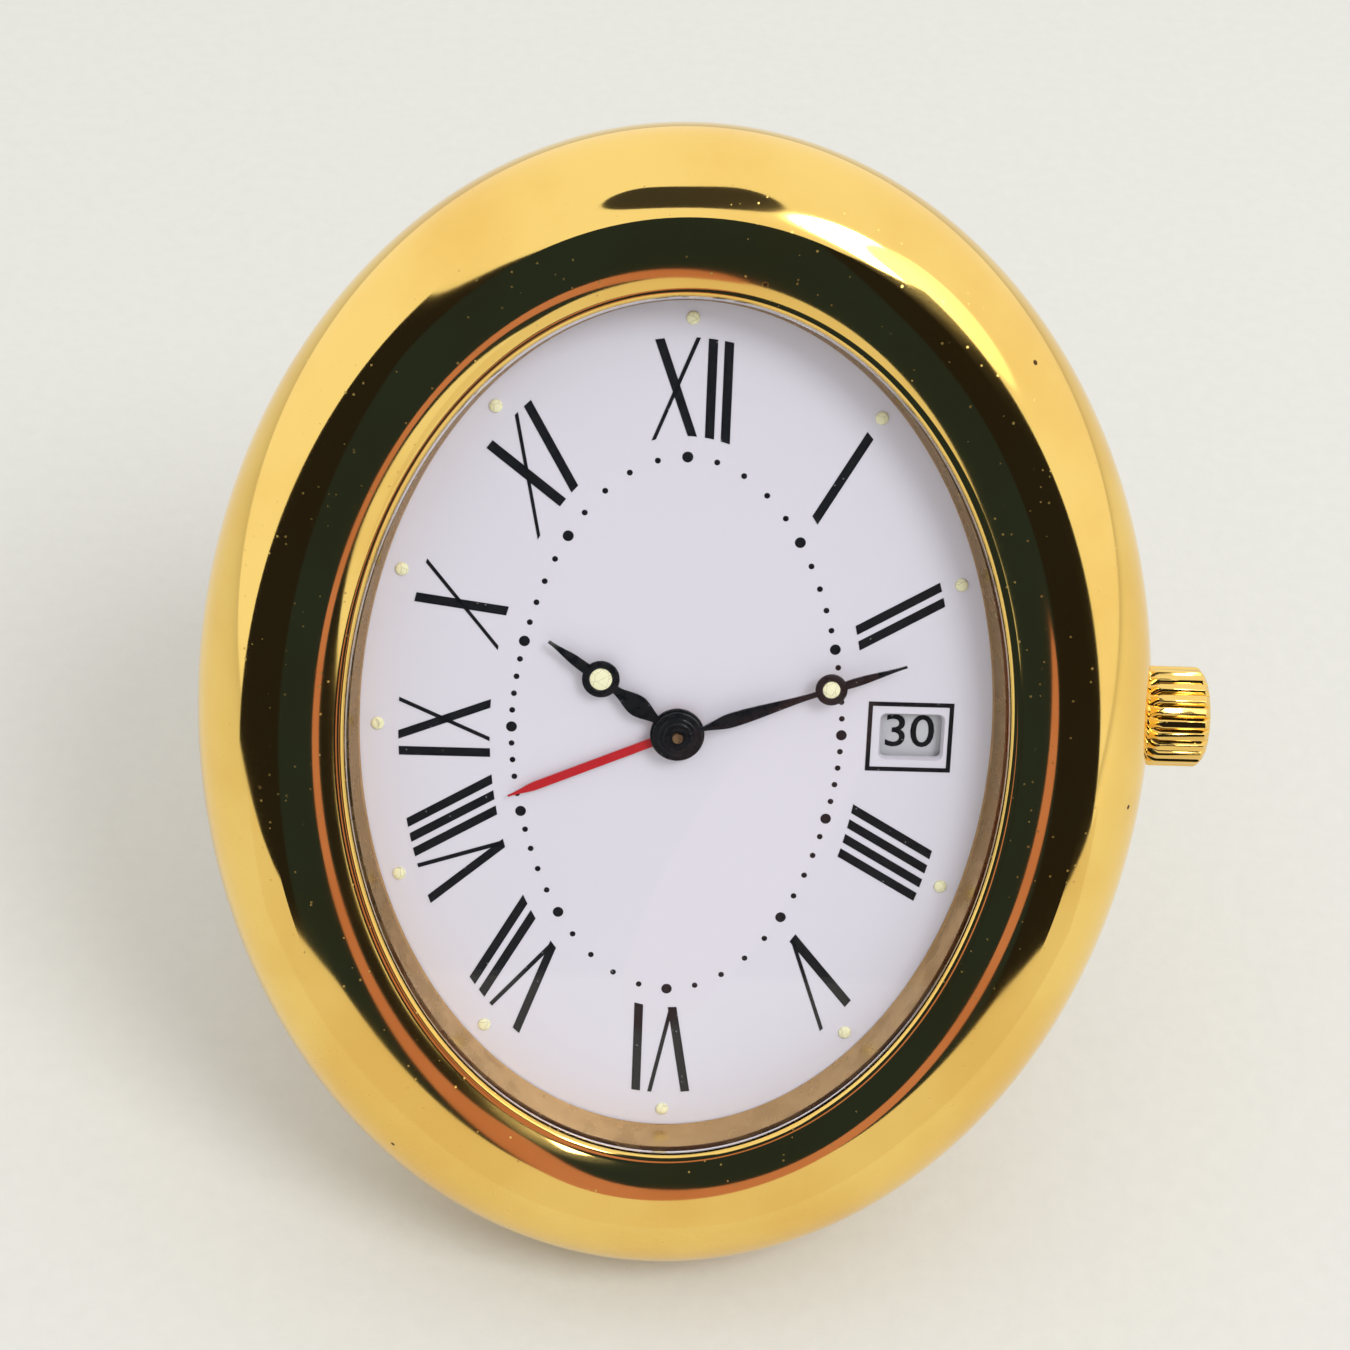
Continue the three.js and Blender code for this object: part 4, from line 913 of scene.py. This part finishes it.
def minute_hand():
    low, high, eye, ring, lume, tip = MINUTE_HAND.values()
    inner_blade = blade([(1.0, 0.09), (2.7, 0.36), (eye - 0.66, 0.13)], low, high, 0.03)
    outer_blade = blade([(eye + 0.66, 0.2), (eye + 1.2, 0.21), (tip, 0.06)], low, high, 0.03)
    boss = hub(low, [(1.2, high), (0.92, 1.02), (0.7, 1.07)], 0.46)
    whole = merged([inner_blade, outer_blade, eye_ring(eye, lume, ring, low, high), boss])
    whole = turned(whole, MINUTE_ANGLE)
    return piece("minute_hand_blade", whole, [LACQUER, EDGE], "minute_train", ["minute_hand"])


def hour_hand():
    low, high, eye, ring, lume, tip = HOUR_HAND.values()
    inner_blade = blade([(1.0, 0.16), (2.4, 0.52), (eye - 0.8, 0.2)], low, high, 0.035)
    outer_blade = blade([(eye + 0.8, 0.27), (eye + 1.3, 0.26), (tip, 0.08)], low, high, 0.035)
    boss = hub(low, [(1.3, high), (1.05, 0.72)], 0.67)
    whole = merged([inner_blade, outer_blade, eye_ring(eye, lume, ring, low, high), boss])
    whole = turned(whole, HOUR_ANGLE)
    return piece("hour_hand_blade", whole, [LACQUER, EDGE], "hour_train", ["hour_hand"])


def alarm_hand():
    low, high = 0.28, 0.38
    arm = blade([(1.1, 0.21), (7.2, 0.21), (8.7, 0.04)], low, high, 0.01)
    boss = hub(low, [(1.18, high)], 0.89)
    whole = turned(merged([arm, boss]), ALARM_ANGLE)
    paint = [RED, RED]  # the blade's edge is painted too
    return piece("alarm_hand_blade", whole, paint, "alarm_train", ["alarm_hand"])


def lume_fill(name, hand, clockwise, body, node):
    """Luminous paint that fills an eye and bulges a little above it."""
    low, high, centre, radius = hand["low"], hand["high"], hand["eye"], hand["lume"]
    profile = [(radius - 0.01, low)]
    rings = 7
    for ring in range(rings):
        angle = pi / 2 * ring / rings
        profile.append(((radius - 0.01) * cos(angle), high - 0.03 + 0.06 * sin(angle)))
    fill = moved(lathed(profile, 36), Matrix.Translation((0, centre, 0)))
    return piece(name, turned(fill, clockwise), [LUME], body, [node])


def centre_pin():
    """The polished end of the centre arbor and of the cannon pipe round it."""
    profile = [(0.27, 0.9), (0.45, 0.9), (0.45, 1.06), (0.42, 1.09), (0.3, 1.09), (0.27, 1.06)]
    pipe = lathed(profile, 40, capped=False)
    dome = [(0.24, 0.8), (0.24, 1.17)]
    for ring in range(1, 6):
        angle = pi / 2 * ring / 6
        dome.append((0.24 * cos(angle), 1.17 + 0.08 * sin(angle)))
    piece("cannon_pipe_end", pipe, [LACQUER], "minute_train")
    return piece("centre_pin", lathed(dome, 32), [STEEL], "minute_train")


# ---------------------------------------------------------------------------------------------
# Crown
# ---------------------------------------------------------------------------------------------

CROWN = {"radius": 2.5, "inner": 23.1, "outer": 26.4, "flutes": 24, "depth": 0.2}
RIB = {"point_length": 0.75, "point_depth": 0.16, "point_steps": 8, "edge": 0.7}


def crown():
    """The fluted crown: flat-topped ribs with V grooves, pointed at the case side."""
    radius, inner, outer, depth = CROWN["radius"], CROWN["inner"], CROWN["outer"], CROWN["depth"]
    edge = RIB["edge"]

    def ribbed(offset, angle):
        """A point at a reach less a groove's cut; groove is how far round it a groove spreads."""
        reach, cut, groove = offset
        phase = abs(sin(angle * CROWN["flutes"] / 2))
        return round_point(reach - cut * max(0.0, 1 - phase / groove), angle)

    profile = [((1.75, 0, 1), 24.5), ((1.75, 0, 1), inner), ((radius - 0.42, 0, 1), inner)]
    for step in range(1, RIB["point_steps"] + 1):
        share = step / RIB["point_steps"]
        deeper = depth + RIB["point_depth"] * (1 - share)
        profile.append(((radius, deeper, edge / share), inner + 0.1 + RIB["point_length"] * share))
    profile += [
        ((radius, depth, edge), outer - 0.42),
        ((radius - 0.05, depth, edge), outer - 0.3),
        ((radius - 0.28, 0.04, edge), outer - 0.1),
        ((radius - 0.36, 0, 1), outer - 0.06),
        ((1.2, 0, 1), outer - 0.02),
        ((0.5, 0, 1), outer),
    ]
    body = swept(profile, ribbed, CROWN["flutes"] * 14, capped=True)
    return piece("fluted_crown", moved(body, STEM), [GILT], "crown", ["crown"], sharp=25)


# ---------------------------------------------------------------------------------------------
# Back and stand
# ---------------------------------------------------------------------------------------------

COVER = {"inset": 4.1, "inside": -8.25, "flange": -9.2, "plateau_inset": 6.1, "slope": 0.3}
COVER_SCREW = {"inset": 5.0, "hole": 0.6}
LEG = {"hinge": (12, -9.35), "top_half_width": 5.0, "foot_half_width": 6.3, "length": 34.239}
POCKET = {"floor": -8.7, "side": 0.25, "top": 1.403, "end": 0.3}
PIN_HOLE = {"radius": 0.4, "reach": 7.4}


def back_cover():
    """The raised oval back with the leg's recess, the hinge pin's bore and four screw holes."""
    round_off = 0.07
    cover = swept([
        (COVER["inset"], COVER["inside"]),
        (COVER["inset"], COVER["flange"] + round_off),
        (COVER["inset"] + round_off, COVER["flange"]),
        (COVER["plateau_inset"] - round_off, COVER["flange"]),
        (COVER["plateau_inset"] + round_off, COVER["flange"] - round_off),
        (COVER["plateau_inset"] + COVER["slope"] - round_off, BACK_PLATEAU + round_off),
        (COVER["plateau_inset"] + COVER["slope"] + round_off, BACK_PLATEAU),
    ], capped=True)
    cover = piece("cover_plate", cover, [BRUSHED_GILT], "case", ["back_cover"])
    bottom = -LEG["length"] - POCKET["end"]
    widen = (LEG["foot_half_width"] - LEG["top_half_width"]) / -bottom
    hinge_y, hinge_z = LEG["hinge"]
    outline = []
    for side, y in ((1, POCKET["top"]), (-1, POCKET["top"]), (-1, bottom), (1, bottom)):
        half_width = LEG["top_half_width"] + POCKET["side"] - y * widen
        outline.append((side * half_width, hinge_y + y))
    pocket = slab(outline, BACK_PLATEAU - 1, POCKET["floor"])
    radius, reach = PIN_HOLE["radius"], PIN_HOLE["reach"]
    bore = moved(lathed([(radius, -reach), (radius, reach)], 24), Matrix.Rotation(pi / 2, 4, "Y"))
    cutters = [pocket, moved(bore, Matrix.Translation((0, hinge_y, hinge_z)))]
    for angle in (45, 135, 225, 315):
        radius = COVER_SCREW["hole"]
        hole = lathed([(radius, COVER["flange"] - 1), (radius, COVER["inside"] + 1)], 32)
        x, y = oval_point(COVER_SCREW["inset"], radians(angle))
        cutters.append(moved(hole, Matrix.Translation((x, y, 0))))
    return carved(cover, *cutters)


def softened(node, name, material, body, width):
    """A fine copy of a plain CAD piece with its sharp edges rounded."""
    source = frame["nodes"][node]
    bm = bmesh.new()
    bm.from_mesh(source.data)
    bm.transform(DIAL_TO_ROW.inverted() @ source.matrix_world)
    bmesh.ops.remove_doubles(bm, verts=bm.verts, dist=1e-4)
    bmesh.ops.dissolve_limit(bm, angle_limit=radians(1), verts=bm.verts, edges=bm.edges)
    sharp = [edge for edge in bm.edges if edge.is_manifold and edge.calc_face_angle() > radians(35)]
    bmesh.ops.bevel(
        bm, geom=sharp, offset=width, segments=3, affect="EDGES", profile=0.5, clamp_overlap=True
    )
    return piece(name, bm, [material], body, [node])


def stand():
    softened("stand_leg", "leg_plate", BRUSHED_GILT, "stand_leg", 0.14)
    for number in range(1, 5):
        softened(f"back_screw_{number}", f"cover_screw_{number}", STEEL, "case", 0.03)


# ---------------------------------------------------------------------------------------------
# Stage
# ---------------------------------------------------------------------------------------------


FLOOR_REACH = 2.5
CARD_CENTRE = 0.03
KEY_LAMP = {"place": (0.35, -0.35, 0.66), "target": (0, 0, 0.03), "size": 0.34, "power": 2.8}


def floor():
    mesh = bpy.data.meshes.new("floor")
    reach = FLOOR_REACH
    corners = [(-reach, -reach, 0), (reach, -reach, 0), (reach, reach, 0), (-reach, reach, 0)]
    mesh.from_pydata(corners, [], [(0, 1, 2, 3)])
    tree = Tree("pale_floor")
    grain = tree.noise(900.0, 3.0)
    tree.feed("Base Color", tree.mixed(grain, (0.66, 0.66, 0.63), (0.62, 0.62, 0.59)))
    tree.set(Roughness=0.8, Specular_IOR_Level=0.0)
    tree.bump(grain, 0.2, 0.0002)
    mesh.materials.append(tree.material)
    linked("floor", mesh)


def key_lamp():
    """A round soft lamp above, in front and to the right."""
    data = bpy.data.lights.new("key", "AREA")
    data.shape = "DISK"
    data.size = KEY_LAMP["size"]
    data.energy = KEY_LAMP["power"]
    place = Vector(KEY_LAMP["place"])
    aim = (Vector(KEY_LAMP["target"]) - place).to_track_quat("-Z", "Y")
    linked("key", data).matrix_world = Matrix.Translation(place) @ aim.to_matrix().to_4x4()


def card(name, distance, direction, glow, across=64, up=16):
    """A curved studio card round the clock. direction(u, v) gives azimuth and elevation in degrees."""
    rows = []
    for row in range(up + 1):
        for column in range(across + 1):
            azimuth, elevation = (radians(angle) for angle in direction(column / across, row / up))
            level = distance * cos(elevation)
            height = max(CARD_CENTRE + distance * sin(elevation), 0.0005)
            rows.append((level * sin(azimuth), level * cos(azimuth), height))
    faces = []
    for row in range(up):
        for column in range(across):
            corner = row * (across + 1) + column
            faces.append((corner, corner + 1, corner + across + 2, corner + across + 1))
    mesh = bpy.data.meshes.new(name)
    mesh.from_pydata(rows, [], faces)
    reflected_only(name, mesh, glow)


def reflected_only(name, mesh, glow):
    """A stage object with an even glow that only mirroring and clear surfaces show."""
    tree = Tree(name)
    emission = tree.add("ShaderNodeEmission", Color=(*glow, 1), Strength=1.0)
    tree.links.new(emission.outputs["Emission"], tree.output.inputs["Surface"])
    mesh.materials.append(tree.material)
    obj = linked(name, mesh)
    obj.visible_camera = False
    obj.visible_diffuse = False
    obj.visible_shadow = False


def oval_card(name, distance, centre, reach, glow):
    """An oval card overhead. Its centre is (azimuth, elevation), its reach (across, up), in degrees."""

    def direction(around, out):
        turn = 2 * pi * around
        elevation = centre[1] + reach[1] * out * sin(turn)
        return centre[0] + reach[0] * out * cos(turn) / cos(radians(elevation)), elevation

    card(name, distance, direction, glow, 96, 6)


def near_card(name, depth, outline, glow):
    """A flat upright card a little in front of the clock. The outline is in mm, across and up."""
    mesh = bpy.data.meshes.new(name)
    corners = [(across * MM, depth * MM, up * MM) for across, up in outline]
    mesh.from_pydata(corners, [], [tuple(range(len(corners)))])
    reflected_only(name, mesh, glow)


def cards():
    """What the gold mirrors: a dark room, one dark and one bright card overhead, and in front of
    the clock a warm spot on a dark near card, with a pale card below it."""
    card("dark_front", 0.34, lambda u, v: (131 + 110 * u, -8 + 54 * v), (0.018, 0.017, 0.02))
    oval_card("dark_top", 0.5, (176, 71), (15, 12), (0.05, 0.05, 0.06))
    oval_card("bright_side", 0.7, (122, 44), (13, 12), (1.7, 1.7, 1.6))
    spot = []
    for step in range(48):
        turn = 2 * pi * step / 48
        spot.append((4.8 + 6.5 * sin(turn) + 4.6 * cos(turn), 29.5 + 12 * sin(turn)))
    near_card("warm_spot", -46, spot, (0.55, 0.25, 0.24))
    near_card("dark_near", -46.6, [(-28, 21), (14, 21), (14, 95), (-28, 95)], (0.02, 0.034, 0.055))
    near_card("pale_low", -46.3, [(-70, 0.3), (70, 0.3), (70, 21), (-70, 21)], (0.8, 0.76, 0.68))


def world():
    """A pale, even studio."""
    scene_world = bpy.data.worlds.new("studio")
    bpy.context.scene.world = scene_world
    scene_world.use_nodes = True
    background = scene_world.node_tree.nodes["Background"]
    background.inputs["Color"].default_value = (1.0, 0.99, 0.97, 1)
    background.inputs["Strength"].default_value = 1.0


CAMERA_PLACE = (-5.15, 37.91, 118.7)
CAMERA_TILT = (-16.504, -2.296, 1.586)
LENS = 69.33


def camera():
    """The photograph's viewpoint: close in front of the dial and above it."""
    data = bpy.data.cameras.new("camera")
    data.lens = LENS
    data.sensor_width = 36
    data.clip_start = 0.005
    obj = linked("camera", data)
    tilt = Matrix.Identity(3)
    for angle, axis in zip(CAMERA_TILT, "XYZ"):
        tilt = tilt @ Matrix.Rotation(radians(angle), 3, axis)
    turn = DIAL_TO_ROW.to_3x3().normalized() @ tilt
    obj.matrix_world = Matrix.Translation(DIAL_TO_ROW @ Vector(CAMERA_PLACE)) @ turn.to_4x4()
    bpy.context.scene.camera = obj


# ---------------------------------------------------------------------------------------------
# Build
# ---------------------------------------------------------------------------------------------

bpy.context.scene.view_settings.view_transform = "Standard"
finish_cad_nodes()
case_band()
crystal()
gasket()
rehaut()
dial_plate()
numerals()
minute_dots()
hour_dots()
date_frame()
date_disc()
day_numbers()
minute_hand()
hour_hand()
alarm_hand()
lume_fill("minute_eye_lume", MINUTE_HAND, MINUTE_ANGLE, "minute_train", "minute_hand_lume")
lume_fill("hour_eye_lume", HOUR_HAND, HOUR_ANGLE, "hour_train", "hour_hand_lume")
centre_pin()
crown()
back_cover()
stand()
floor()
world()
camera()
cards()
key_lamp()
